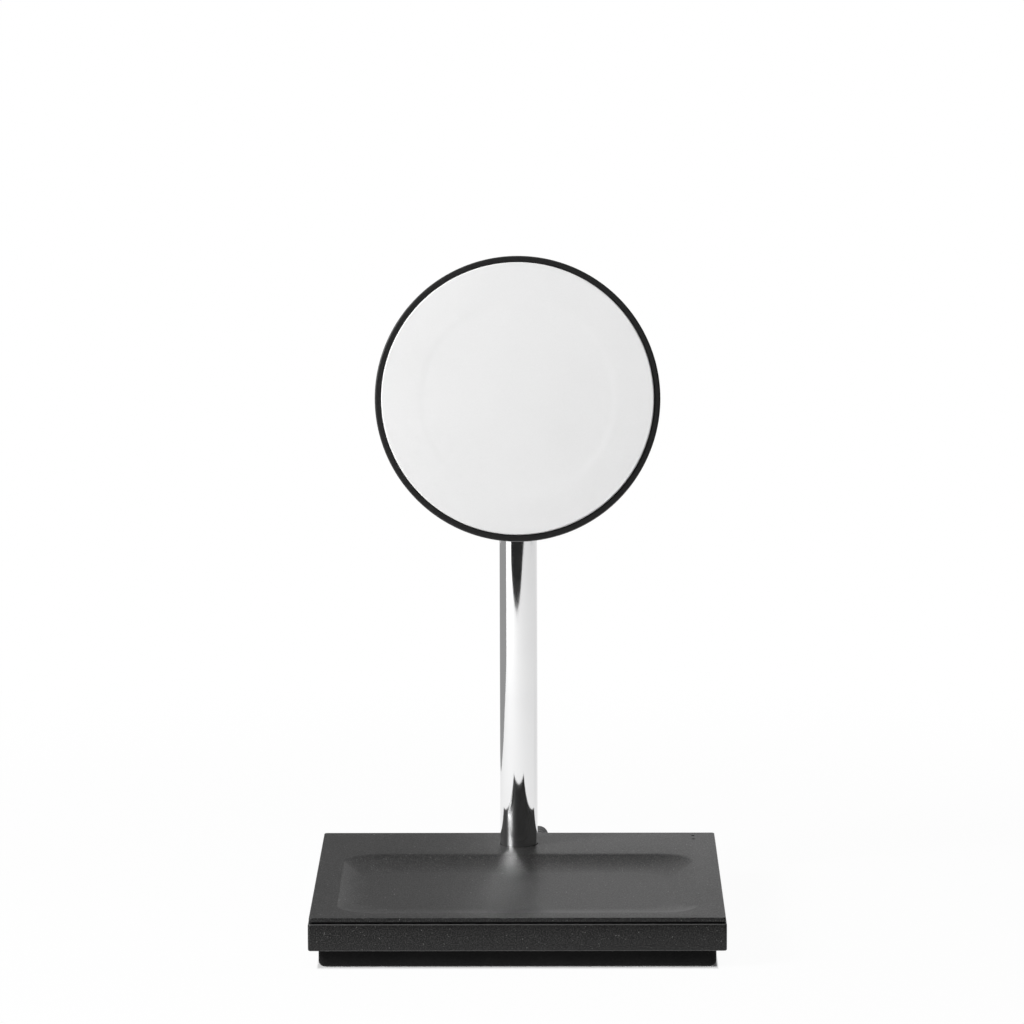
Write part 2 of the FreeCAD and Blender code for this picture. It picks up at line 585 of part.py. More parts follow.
cut(base_body, "body_bores", sketch, "Sizes.body_floor")
sketch = new_sketch(base_body, "board_pilots", z="Levels.board_bottom")
draw_circles(sketch, "Sizes.board_screw_shank + 2 * Sizes.press_gap", board_screw_places)
cut(base_body, "board_pilot_bores", sketch, "Sizes.board_standoff + Sizes.body_floor / 2")
sketch = new_sketch(
    base_body,
    "gland_hole_outline",
    role="XZ_Plane",
    x="Sizes.gland_offset",
    y="Levels.gland_height",
    z="Sizes.body_wall - Levels.half_side",
)
draw_circles(sketch, "Sizes.gland_neck + 2 * Sizes.press_gap")
cut(base_body, "gland_hole", sketch, "Sizes.body_wall")

# The cover is one moulding: a thin plate over a set-back rim, with a dished tray whose
# walls sink in a curve from a crisp lip, steeper at the sides than at the back.
tray_cover = new_body("tray_cover")
sketch = new_sketch(tray_cover, "cover_outline", z="Levels.cover_seat")
cover_side = "2 * Levels.cover_half"
draw_rounded_square(sketch, cover_side, cover_side, "Sizes.base_corner")
pad(tray_cover, "cover_plate", sketch, "Sizes.cover_edge")
fillet(
    tray_cover,
    "cover_upper_edge",
    "Sizes.cover_round",
    lambda edge: lies_at(edge, value("Levels.cover_top")),
)
sketch = new_sketch(tray_cover, "cover_rim_outline", z="Levels.wall_top")
rim_side = "Sizes.base_side - 2 * Sizes.shadow_depth"
draw_rounded_square(sketch, rim_side, rim_side, "Sizes.base_corner")
pad(tray_cover, "cover_rim", sketch, "Sizes.shadow_gap")
sketch = new_sketch(tray_cover, "cover_lip_outline", z="Levels.wall_top")
for half_width in ("Levels.lip_half", "Levels.lip_inner_half"):
    lip_side = "2 * " + half_width
    draw_rounded_square(sketch, lip_side, lip_side, "Sizes.base_corner")
pad(tray_cover, "cover_lip", sketch, "Sizes.cover_lip", reverse=True)


def tray_section(name, share, level, spread="0"):
    """The tray's outline once its slopes have run a share of their width, at a given height."""
    middle = "Levels.tray_middle + %s * (Sizes.tray_run - Sizes.tray_back_run) / 2" % share
    section = new_sketch(tray_cover, name, y=middle, z=level)
    draw_rounded_square(
        section,
        "2 * (Levels.tray_half - %s * Sizes.tray_run + %s)" % (share, spread),
        "Levels.tray_length - %s * (Sizes.tray_run + Sizes.tray_back_run) + 2 * %s"
        % (share, spread),
        "Sizes.tray_corner",
    )
    return section


tray_back_sections = [
    tray_section("tray_back_top", "0", "Levels.wall_top"),
    tray_section("tray_back_bottom", "1", "Levels.tray_underside", "Sizes.tray_skin"),
]
tray_back_form = add(tray_cover, "AdditiveLoft", "tray_back_form", tray_back_sections[0])
tray_back_form.Sections = tray_back_sections[1:]
tray_back_form.Ruled = True
doc.recompute()
sketch = new_sketch(tray_cover, "cover_post_outline", z="Levels.wall_top")
draw_circles(sketch, "Sizes.post_diameter", screw_places)
pad(tray_cover, "cover_posts", sketch, "Levels.wall_top - Levels.post_foot", reverse=True)
tray_steps = 3
tray_sections = [
    tray_section(
        "tray_section_%d" % step,
        "%d / %d" % (step, tray_steps),
        "Levels.cover_top - Sizes.tray_depth * (1 - (1 - %d / %d)^2)" % (step, tray_steps),
    )
    for step in range(tray_steps + 1)
]
uncut_volume = tray_cover.Shape.Volume
tray_dish = add(tray_cover, "SubtractiveLoft", "tray_dish", tray_sections[0])
tray_dish.Sections = tray_sections[1:]
doc.recompute()
if not tray_cover.Shape.Volume < uncut_volume:
    raise RuntimeError("the tray cuts nothing")
lamp_places = [
    ("Levels.lamp_x", "Levels.lamp_y %s Sizes.lamp_spacing / 2" % sign) for sign in "+-"
]
sketch = new_sketch(tray_cover, "cover_holes", z="Levels.cover_top")
draw_circles(sketch, "Sizes.pole_diameter + 2 * Sizes.pole_hole_gap", pole_place)
draw_circles(sketch, "Sizes.lamp_hole", lamp_places)
cut(tray_cover, "cover_bores", sketch, "Levels.cover_top - Levels.wall_top")
sketch = new_sketch(tray_cover, "post_pilots", z="Levels.post_foot")
draw_circles(sketch, "Sizes.screw_shank + 2 * Sizes.press_gap", screw_places)
cut(tray_cover, "post_pilot_bores", sketch, "Sizes.screw_grip + Sizes.seat_gap", reverse=True)

# The tray's coil is glued under the tray, with a ferrite shield behind it.
tray_coil = new_body("tray_coil")
grow_ring(
    tray_coil,
    "tray_coil_winding",
    "Sizes.tray_coil_outer",
    "Sizes.tray_coil_inner",
    "Levels.tray_underside - Sizes.coil_thickness",
    "Sizes.coil_thickness",
)
place(tray_coil, y="Levels.coil_middle")
tray_ferrite = new_body("tray_ferrite")
sketch = new_sketch(tray_ferrite, "tray_ferrite_outline", z="Levels.ferrite_bottom")
draw_rounded_square(
    sketch, "Levels.ferrite_side", "Levels.ferrite_side", "Sizes.tray_corner / 2"
)
pad(tray_ferrite, "tray_ferrite_sheet", sketch, "Sizes.ferrite_thickness")
place(tray_ferrite, y="Levels.coil_middle")

# The circuit board lies behind the tray, with a hole for the pole, a notch for the
# gland and a tab that reaches under the indicator lamps.
circuit_board = new_body("circuit_board")
notch_left = "Sizes.gland_offset - Sizes.gland_flange / 2 - Sizes.notch_margin"
notch_right = "Sizes.gland_offset + Sizes.gland_flange / 2 + Sizes.notch_margin"
flange_front = "Levels.half_side - Sizes.body_wall - Sizes.gland_flange_depth"
notch_front = flange_front + " - Sizes.notch_margin"
tab_end = "Levels.lamp_x + Sizes.board_tab_margin"
sketch = new_sketch(circuit_board, "board_outline", z="Levels.board_bottom")
draw_outline(
    sketch,
    (
        ("-Levels.board_half", "Levels.board_front"),
        ("Levels.board_half", "Levels.board_front"),
        ("Levels.board_half", "Levels.tab_front"),
        (tab_end, "Levels.tab_front"),
        (tab_end, "Levels.board_rear"),
        (notch_right, "Levels.board_rear"),
        (notch_right, notch_front),
        (notch_left, notch_front),
        (notch_left, "Levels.board_rear"),
        ("-Levels.board_half", "Levels.board_rear"),
    ),
)
pad(circuit_board, "board_sheet", sketch, "Sizes.board_thickness")
sketch = new_sketch(circuit_board, "board_holes", z="Levels.board_top")
draw_circles(sketch, "Sizes.pole_diameter + 10 * Sizes.seat_gap", pole_place)
draw_circles(sketch, "Sizes.board_screw_shank + 2 * Sizes.seat_gap", board_screw_places)
cut(circuit_board, "board_bores", sketch, "Sizes.board_thickness")
board_middle = "(Levels.board_front + Levels.board_rear) / 2"
sketch = new_sketch(circuit_board, "board_parts_outline", y=board_middle, z="Levels.board_top")
chips = ("-Levels.outer_chip_x", "Sizes.chip_pitch - Levels.outer_chip_x", "Levels.outer_chip_x")
for chip in chips:
    draw_box(
        sketch,
        "%s - Sizes.chip_side / 2" % chip,
        "%s + Sizes.chip_side / 2" % chip,
        "-Sizes.chip_side / 2",
        "Sizes.chip_side / 2",
    )
draw_box(
    sketch,
    "Sizes.socket_offset",
    "Sizes.socket_offset + Sizes.socket_width",
    "-Sizes.socket_depth / 2",
    "Sizes.socket_depth / 2",
)
pad(circuit_board, "board_parts", sketch, "Sizes.chip_height")
sketch = new_sketch(circuit_board, "board_lamps_outline", z="Levels.board_top")
draw_circles(sketch, "Sizes.lamp_diameter", lamp_places)
pad(circuit_board, "board_lamps", sketch, "Sizes.lamp_height")

# The light guide is a clear moulding that carries the two lamps up to the cover's surface.
light_guide = new_body("light_guide")
guide_foot = "Levels.board_top + Sizes.lamp_height + Sizes.seat_gap"
sketch = new_sketch(
    light_guide, "guide_outline", x="Levels.lamp_x", y="Levels.lamp_y", z=guide_foot
)
draw_rounded_square(sketch, "Sizes.guide_width", "Levels.guide_length", "Sizes.guide_corner")
pad(light_guide, "guide_bar", sketch, "Levels.wall_top - (%s)" % guide_foot)
sketch = new_sketch(light_guide, "guide_pins_outline", z="Levels.wall_top")
draw_circles(sketch, "Sizes.lamp_hole - 2 * Sizes.press_gap", lamp_places)
pad(light_guide, "guide_pins", sketch, "Levels.cover_top - Levels.wall_top - Sizes.seat_gap")

# The screws of the base: four hold the cover down on the body and the ballast plate,
# and four hold the circuit board.
screw_set(
    "cover_screws",
    screw_places,
    "Levels.screw_seat",
    "Sizes.screw_head",
    "Sizes.screw_head_height",
    "Sizes.screw_shank",
    "Levels.post_foot + Sizes.screw_grip - Levels.screw_seat",
)
board_screws = screw_set(
    "board_screws",
    [(x, "-(%s)" % y) for x, y in board_screw_places],
    "-Levels.board_top",
    "Sizes.board_screw_head",
    "Sizes.board_screw_head_height",
    "Sizes.board_screw_shank",
    "Sizes.board_thickness + Sizes.board_standoff + Sizes.body_floor / 2 - Sizes.seat_gap",
)
place(board_screws, turn="180")

# The cable gland is a moulded boot with relief grooves, turned about its own axis and
# then laid along Y. Its flange sits inside the back wall.
cable_gland = new_body("cable_gland")
rib_pitch = "Sizes.gland_length / (Sizes.gland_rib_count + 2)"
taper = "(Sizes.gland_root - Sizes.gland_end) / Sizes.gland_length"
gland_profile = [
    ("Sizes.gland_bore / 2", "-Sizes.body_wall"),
    ("Sizes.gland_neck / 2", "-Sizes.body_wall"),
    ("Sizes.gland_neck / 2", "0"),
    ("Sizes.gland_root / 2", "0"),
]
for rib in range(1, int(value("Sizes.gland_rib_count")) + 1):
    start = "%d * %s" % (rib, rib_pitch)
    end = "%s + %s / 3" % (start, rib_pitch)
    for along, deep in ((start, 0), (start, 1), (end, 1), (end, 0)):
        gland_profile.append(
            (
                "(Sizes.gland_root - %s * (%s)) / 2 - %d * Sizes.gland_rib_depth"
                % (taper, along, deep),
                along,
            )
        )
gland_profile.append(("Sizes.gland_end / 2", "Sizes.gland_length"))
gland_profile.append(("Sizes.gland_bore / 2", "Sizes.gland_length"))
sketch = new_sketch(cable_gland, "gland_profile", role="XZ_Plane")
draw_outline(sketch, gland_profile)
revolve(cable_gland, "gland_boot", sketch)
fillet(
    cable_gland,
    "gland_end_edge",
    "Sizes.gland_end_round",
    lambda edge: lies_at(edge, value("Sizes.gland_length"))
    and is_circle(edge, value("Sizes.gland_end / 2")),
)
sketch = new_sketch(cable_gland, "gland_flange_outline", z="-Sizes.body_wall")
flange_height = "Levels.gland_room - 2 * Sizes.gland_flange_gap"
draw_rounded_square(sketch, "Sizes.gland_flange", flange_height, "Sizes.gland_flange_corner")
draw_circles(sketch, "Sizes.gland_bore")
pad(cable_gland, "gland_flange", sketch, "Sizes.gland_flange_depth", reverse=True)
place(cable_gland, "Sizes.gland_offset", "Levels.half_side", "Levels.gland_height", "-90")

# The pole is a chromed tube. Its shoulder stands on the body's floor, its threaded end
# goes through the ballast plate, and a window lets the lead in above the floor.
pole = new_body("pole")
shank_bottom = "Sizes.foot_floor + Sizes.seat_gap"
sketch = new_sketch(pole, "pole_profile", role="XZ_Plane")
draw_outline(
    sketch,
    (
        ("Sizes.pole_bore / 2", shank_bottom),
        ("Sizes.pole_shank / 2", shank_bottom),
        ("Sizes.pole_shank / 2", "Levels.floor_top"),
        ("Sizes.pole_diameter / 2", "Levels.floor_top"),
        ("Sizes.pole_diameter / 2", "Levels.collar_bottom"),
        ("Sizes.pole_bore / 2", "Levels.collar_bottom"),
    ),
)
revolve(pole, "pole_tube", sketch)
window_half = "Sizes.pole_lead_diameter / 2 + 5 * Sizes.seat_gap"
sketch = new_sketch(pole, "pole_window_outline", role="YZ_Plane", y="Levels.lead_level")
draw_box(
    sketch,
    "-(%s)" % window_half,
    window_half,
    "-Sizes.pole_lead_diameter / 2 - 2 * Sizes.seat_gap",
    window_half,
)
cut(pole, "pole_window", sketch, "Sizes.pole_diameter", reverse=True)
place(pole, y="Levels.pole_y")

# The nut that pulls the pole down sits in a seat in the ballast plate.
nut_block = doc.addObject("Part::Prism", "nut_block")
nut_block.Polygon = 6
bind(nut_block, "Circumradius", "Sizes.nut_width / 2")
bind(nut_block, "Height", "Sizes.nut_height")
nut_thread = doc.addObject("Part::Cylinder", "nut_thread")
bind(nut_thread, "Radius", "Sizes.pole_shank / 2 + Sizes.press_gap")
bind(nut_thread, "Height", "Sizes.nut_height")
pole_nut = doc.addObject("Part::Cut", "pole_nut")
pole_nut.Base = nut_block
pole_nut.Tool = nut_thread
pole_nut.Label = "pole_nut"
place(pole_nut, y="Levels.pole_y", z="Sizes.foot_floor + Sizes.seat_gap")
pieces.append(pole_nut)


def lead(label, diameter, bend, run_x, run_z):
    """A lead in the XZ plane: along X from run_x to the corner at the origin, then up to run_z."""
    body = new_body(label)
    radius = value(bend)
    sign = 1 if value(run_x) > 0 else -1
    spine = new_sketch(body, label + "_route", role="XZ_Plane")
    start = FreeCAD.Vector(value(run_x), 0, 0)
    near = FreeCAD.Vector(sign * radius, 0, 0)
    above = FreeCAD.Vector(0, radius, 0)
    finish = FreeCAD.Vector(0, value(run_z), 0)
    turn = radius * (1 - 0.5 ** 0.5)
    flat = spine.addGeometry(Part.LineSegment(start, near))
    arc = spine.addGeometry(Part.Arc(near, FreeCAD.Vector(sign * turn, turn, 0), above))
    upright = spine.addGeometry(Part.LineSegment(above, finish))
    arc_ends = (1, 2) if abs(spine.getPoint(arc, 1).y) < 1e-6 else (2, 1)
    spine.addConstraint(Sketcher.Constraint("Tangent", flat, 2, arc, arc_ends[0]))
    spine.addConstraint(Sketcher.Constraint("Tangent", arc, arc_ends[1], upright, 1))
    spine.addConstraint(Sketcher.Constraint("PointOnObject", flat, 1, -1))
    spine.addConstraint(Sketcher.Constraint("PointOnObject", flat, 2, -1))
    spine.addConstraint(Sketcher.Constraint("PointOnObject", upright, 1, -2))
    spine.addConstraint(Sketcher.Constraint("PointOnObject", upright, 2, -2))
    dimension(spine, Sketcher.Constraint("Radius", arc, radius), bend)
    dimension(spine, Sketcher.Constraint("DistanceX", -1, 1, flat, 1, start.x), run_x)
    dimension(spine, Sketcher.Constraint("DistanceY", -1, 1, upright, 2, finish.y), run_z)
    section = new_sketch(body, label + "_section", role="YZ_Plane", z=run_x)
    draw_circles(section, diameter)
    pipe = add(body, "AdditivePipe", label + "_wire", section)
    pipe.Spine = (spine, ["Edge1", "Edge2", "Edge3"])
    doc.recompute()
    return body


# The lead runs from the circuit board through the window and up the pole to the hinge.
pole_lead = lead(
    "pole_lead",
    "Sizes.pole_lead_diameter",
    "Sizes.pole_lead_bend",
    "Sizes.socket_offset - 2 * Sizes.seat_gap",
    "Sizes.hinge_height - Levels.lead_level - Sizes.head_lead_diameter / 2 - Sizes.lead_end_gap",
)
place(pole_lead, y="Levels.pole_y", z="Levels.lead_level")

# The knuckle is pressed into the top of the pole: a spigot, a collar and an eye for the
# hinge pin, drawn about the hinge axis, with a channel for the lead.
hinge_knuckle = new_body("hinge_knuckle")
sketch = new_sketch(hinge_knuckle, "knuckle_outline", role="YZ_Plane")
draw_tab(sketch, "Sizes.knuckle_radius", "Sizes.knuckle_neck / 2", "-Levels.collar_drop")
pad(hinge_knuckle, "knuckle_eye", sketch, "Sizes.knuckle_width", symmetric=True)
fillet(
    hinge_knuckle,
    "knuckle_eye_edges",
    "Sizes.knuckle_round",
    lambda edge: stands_at(edge, value("Sizes.knuckle_width / 2"))
    and is_circle(edge, value("Sizes.knuckle_radius")),
)
sketch = new_sketch(hinge_knuckle, "collar_outline", z="-Levels.collar_drop")
draw_circles(sketch, "Sizes.pole_diameter")
pad(hinge_knuckle, "collar", sketch, "Sizes.collar_height", reverse=True)
sketch = new_sketch(
    hinge_knuckle, "spigot_outline", z="-Levels.collar_drop - Sizes.collar_height"
)
draw_circles(sketch, "Sizes.pole_bore - 2 * Sizes.press_gap")
pad(hinge_knuckle, "spigot", sketch, "Sizes.spigot_length", reverse=True)
sketch = new_sketch(hinge_knuckle, "knuckle_bore_outline", role="YZ_Plane")
draw_circles(sketch, "Sizes.pin_diameter + 2 * Sizes.running_gap")
cut(hinge_knuckle, "knuckle_bore", sketch, "2 * Sizes.knuckle_width", symmetric=True)
sketch = new_sketch(hinge_knuckle, "knuckle_channel_outline")
draw_circles(sketch, "Sizes.lead_channel")
knuckle_length = "Levels.collar_drop + Sizes.collar_height + Sizes.spigot_length"
cut(hinge_knuckle, "knuckle_channel", sketch, knuckle_length)
place(hinge_knuckle, y="Levels.pole_y", z="Sizes.hinge_height")

# The hollow hinge pin is fixed in the bracket's ears and turns in the knuckle. A window
# lets the lead in from the pole, and a side hole lets it out towards the head.
hinge_pin = new_body("hinge_pin")
sketch = new_sketch(hinge_pin, "pin_outline", role="YZ_Plane")
draw_circles(sketch, "Sizes.pin_diameter - 2 * Sizes.press_gap")
draw_circles(sketch, "Sizes.pin_bore")
pad(hinge_pin, "pin_tube", sketch, "2 * Levels.pin_half", symmetric=True)
sketch = new_sketch(
    hinge_pin, "pin_window_outline", role="XZ_Plane", z="-Sizes.pole_lead_diameter / 3"
)
draw_box(
    sketch,
    "-Sizes.lead_channel / 2",
    "Sizes.lead_channel / 2",
    "-Sizes.pin_diameter",
    "Sizes.pin_bore / 2",
)
cut(hinge_pin, "pin_window", sketch, "Sizes.pin_diameter", reverse=True)
sketch = new_sketch(hinge_pin, "pin_outlet_outline", x="Levels.ear_middle")
draw_circles(sketch, "Sizes.lead_channel")
cut(hinge_pin, "pin_outlet", sketch, "Sizes.pin_diameter", reverse=True)
place_on_head(hinge_pin)

# A friction washer lies on each side of the knuckle, and a cap closes each end of the pin.
for side, reverse in (("left", True), ("right", False)):
    sign = "-" if reverse else ""
    washer = new_body("friction_washer_" + side)
    sketch = new_sketch(
        washer, "washer_outline_" + side, role="YZ_Plane", z=sign + "Levels.washer_inner"
    )
    draw_circles(sketch, "Sizes.washer_diameter")
    draw_circles(sketch, "Sizes.pin_diameter + 2 * Sizes.seat_gap")
    pad(washer, "washer_" + side, sketch, "Sizes.washer_thickness", reverse=reverse)
    place_on_head(washer)
    cap = new_body("hinge_cap_" + side)
    sketch = new_sketch(
        cap,
        "cap_outline_" + side,
        role="YZ_Plane",
        z=sign + "(Levels.ear_outer - Sizes.cap_thickness)",
    )
    draw_circles(sketch, "Sizes.cap_diameter")
    pad(cap, "cap_" + side, sketch, "Sizes.cap_thickness", reverse=reverse)
    fillet(
        cap,
        "cap_edge_" + side,
        "Sizes.cap_round",
        lambda edge: stands_at(edge, value("Levels.ear_outer")),
    )
    place_on_head(cap)

# The bracket is screwed to the back of the head. Its two ears carry the hinge pin, and
# a channel takes the lead from the pin forwards through the right ear.
bracket_screw_places = [
    ("0", "Sizes.bracket_screw_ring"),
    ("-Sizes.bracket_screw_ring * sin(60)", "-Sizes.bracket_screw_ring / 2"),
    ("Sizes.bracket_screw_ring * sin(60)", "-Sizes.bracket_screw_ring / 2"),
]
hinge_bracket = new_body("hinge_bracket")
sketch = new_sketch(hinge_bracket, "bracket_outline", z="Levels.bracket_back")
draw_circles(sketch, "Sizes.bracket_diameter")
pad(hinge_bracket, "bracket_plate", sketch, "Sizes.bracket_plate")
fillet(
    hinge_bracket,
    "bracket_plate_edge",
    "Sizes.bracket_round",
    lambda edge: lies_at(edge, value("Levels.bracket_back")),
)
for side, reverse in (("left", True), ("right", False)):
    sign = "-" if reverse else ""
    sketch = new_sketch(
        hinge_bracket, "ear_outline_" + side, role="YZ_Plane", z=sign + "Levels.ear_inner"
    )
    ear_reach = "Levels.bracket_back + Sizes.bracket_plate / 2"
    draw_tab(sketch, "Sizes.ear_radius", "Sizes.ear_radius - Sizes.ear_shoulder", ear_reach)
    pad(hinge_bracket, "ear_" + side, sketch, "Sizes.ear_thickness", reverse=reverse)
fillet(
    hinge_bracket,
    "ear_edges",
    "Sizes.ear_round",
    lambda edge: stands_at(edge, value("Levels.ear_outer")),
)
sketch = new_sketch(hinge_bracket, "ear_bore_outline", role="YZ_Plane")
draw_circles(sketch, "Sizes.pin_diameter")
cut(hinge_bracket, "ear_bores", sketch, "3 * Levels.ear_outer", symmetric=True)
for side, reverse in (("left", False), ("right", True)):
    sign = "" if reverse else "-"
    sketch = new_sketch(
        hinge_bracket,
        "cap_seat_outline_" + side,
        role="YZ_Plane",
        z=sign + "(Levels.ear_outer - Sizes.cap_thickness)",
    )
    draw_circles(sketch, "Sizes.cap_diameter + 2 * Sizes.press_gap")
    cut(hinge_bracket, "cap_seat_" + side, sketch, "2 * Sizes.cap_thickness", reverse=reverse)
sketch = new_sketch(hinge_bracket, "ear_channel_outline", x="Levels.ear_middle")
draw_circles(sketch, "Sizes.lead_channel")
cut(hinge_bracket, "ear_channel", sketch, "Levels.head_back", reverse=True)
sketch = new_sketch(hinge_bracket, "bracket_pilots", z="Levels.head_back")
draw_circles(sketch, "Sizes.bracket_screw_shank + 2 * Sizes.press_gap", bracket_screw_places)
cut(hinge_bracket, "bracket_pilot_bores", sketch, "Sizes.bracket_screw_grip + Sizes.seat_gap")
place_on_head(hinge_bracket)

# The head's housing is a turned cup with a narrow rim, a ledge for the pad, a support
# ring for the coil carrier, and a rounded back edge.
head_housing = new_body("head_housing")
head_radius = "Sizes.head_diameter / 2"
rim_inner = "Sizes.head_diameter / 2 - Sizes.rim_width"
sketch = new_sketch(head_housing, "housing_profile", role="XZ_Plane")
draw_outline(
    sketch,
    (
        ("0", "Levels.head_back"),
        (head_radius, "Levels.head_back"),
        (head_radius, "Levels.rim_front"),
        (rim_inner, "Levels.rim_front"),
        (rim_inner, "Levels.pad_seat"),
        ("Levels.cavity_radius", "Levels.pad_seat"),
        ("Levels.cavity_radius", "Levels.head_floor"),
        ("0", "Levels.head_floor"),
    ),
)
revolve(head_housing, "housing_cup", sketch)
fillet(
    head_housing,
    "housing_back_edge",
    "Sizes.head_back_round",
    lambda edge: lies_at(edge, value("Levels.head_back")) and is_circle(edge, value(head_radius)),
)
fillet(
    head_housing,
    "housing_rim_edges",
    "Sizes.rim_round",
    lambda edge: lies_at(edge, value("Levels.rim_front")),
)
grow_ring(
    head_housing,
    "support_ring",
    "Levels.rib_outer",
    "Levels.rib_inner",
    "Levels.head_floor",
    "Levels.carrier_back - Levels.head_floor",
)
sketch = new_sketch(head_housing, "housing_holes", z="Levels.head_floor")
draw_circles(sketch, "Sizes.bracket_screw_shank + 2 * Sizes.seat_gap", bracket_screw_places)
draw_circles(sketch, "Sizes.lead_channel", (("Levels.ear_middle", "0"),))
cut(head_housing, "housing_bores", sketch, "Sizes.head_wall")
place_on_head(head_housing)

bracket_screws = screw_set(
    "bracket_screws",
    [(x, "-(%s)" % y) for x, y in bracket_screw_places],
    "-Levels.head_floor",
    "Sizes.bracket_screw_head",
    "Sizes.bracket_screw_head_height",
    "Sizes.bracket_screw_shank",
    "Sizes.head_wall + Sizes.bracket_screw_grip",
)
place(
    bracket_screws, y="Levels.pole_y", z="Sizes.hinge_height", turn="Levels.head_turn + 180"
)

# The lead in the head starts inside the hinge pin and ends behind the coil carrier.
head_lead = lead(
    "head_lead",
    "Sizes.head_lead_diameter",
    "Sizes.head_lead_bend",
    "-Levels.ear_middle - Sizes.head_lead_diameter / 2",
    "Levels.carrier_back - 2 * Sizes.seat_gap",
)
place_on_head(head_lead)
bind(head_lead, "Placement.Base.x", "Levels.ear_middle")

# The carrier is a moulded plate on the support ring. Its raised middle holds the ferrite
# shield and the coil, and its edge holds the steel ring and the magnets.
coil_carrier = new_body("coil_carrier")
carrier_radius = "Levels.cavity_radius - Sizes.seat_gap"
plateau_radius = "Levels.plateau / 2"
sketch = new_sketch(coil_carrier, "carrier_profile", role="XZ_Plane")
draw_outline(
    sketch,
    (
        ("0", "Levels.carrier_back"),
        (carrier_radius, "Levels.carrier_back"),
        (carrier_radius, "Levels.carrier_front"),
        (plateau_radius, "Levels.carrier_front"),
        (plateau_radius, "Levels.ferrite_back"),
        ("0", "Levels.ferrite_back"),
    ),
)
revolve(coil_carrier, "carrier_form", sketch)
place_on_head(coil_carrier)
head_ferrite = new_body("head_ferrite")
sketch = new_sketch(head_ferrite, "head_ferrite_outline", z="Levels.ferrite_back")
draw_circles(sketch, "Levels.ferrite_diameter")
pad(head_ferrite, "head_ferrite_sheet", sketch, "Sizes.ferrite_thickness")
place_on_head(head_ferrite)
head_coil = new_body("head_coil")
grow_ring(
    head_coil,
    "head_coil_winding",
    "Levels.head_coil_outer",
    "Sizes.head_coil_inner",
    "Levels.coil_back",
    "Sizes.coil_thickness",
)
place_on_head(head_coil)

# The magnets are arc-shaped segments that stand side by side in a ring, on a steel yoke.
magnet_yoke = new_body("magnet_yoke")
grow_ring(
    magnet_yoke,
    "magnet_yoke_ring",
    "Levels.magnet_outer",
    "Levels.magnet_inner",
    "Levels.carrier_front",
    "Sizes.yoke_thickness",
)
place_on_head(magnet_yoke)
magnets = []
for number in range(int(value("Sizes.magnet_count"))):
    sectors = []
    for kind, diameter in (("outer", "Levels.magnet_outer"), ("inner", "Levels.magnet_inner")):
        sector = doc.addObject("Part::Cylinder", "magnet_%s_%d" % (kind, number))
        bind(sector, "Radius", diameter + " / 2")
        bind(sector, "Height", "Sizes.magnet_thickness")
        if kind == "outer":
            bind(sector, "Angle", "Levels.magnet_angle")
        sectors.append(sector)
    magnet = doc.addObject("Part::Cut", "magnet_%d" % number)
    magnet.Base, magnet.Tool = sectors
    magnet.Placement = FreeCAD.Placement(
        FreeCAD.Vector(),
        FreeCAD.Rotation(FreeCAD.Vector(0, 0, 1), 360 * number / value("Sizes.magnet_count")),
    )
    bind(magnet, "Placement.Base.z", "Levels.magnet_back")
    magnets.append(magnet)
magnet_ring = doc.addObject("Part::Compound", "magnet_ring")
magnet_ring.Links = magnets
magnet_ring.Label = "magnet_ring"
pieces.append(magnet_ring)
place_on_head(magnet_ring)

# The charging pad is a white disc with a softly rounded edge, glued on the ledge.
charging_pad = new_body("charging_pad")
sketch = new_sketch(charging_pad, "pad_outline", z="Levels.pad_seat")
draw_circles(sketch, "2 * Levels.pad_radius")
pad(charging_pad, "pad_disc", sketch, "Sizes.pad_thickness")
fillet(
    charging_pad,
    "pad_front_edge",
    "Sizes.pad_round",
    lambda edge: lies_at(edge, value("Levels.pad_front")),
)
place_on_head(charging_pad)

doc.recompute()
for item in doc.Objects:
    if "Invalid" in item.State or "Error" in item.State:
        raise RuntimeError("%s failed: %s" % (item.Label, item.State))
for piece in pieces:
    if piece.Shape.isNull() or not piece.Shape.isValid() or not piece.Shape.Solids:
        raise RuntimeError("%s has no valid solid" % piece.Label)

os.makedirs("parts", exist_ok=True)
for piece in pieces:
    piece.Shape.exportStep("parts/%s.step" % piece.Label)
    print("%-22s %d solid, %8.1f mm3" % (piece.Label, len(piece.Shape.Solids), piece.Shape.Volume))
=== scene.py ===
import json
import math

import bmesh
import bpy
from mathutils import Matrix, Vector


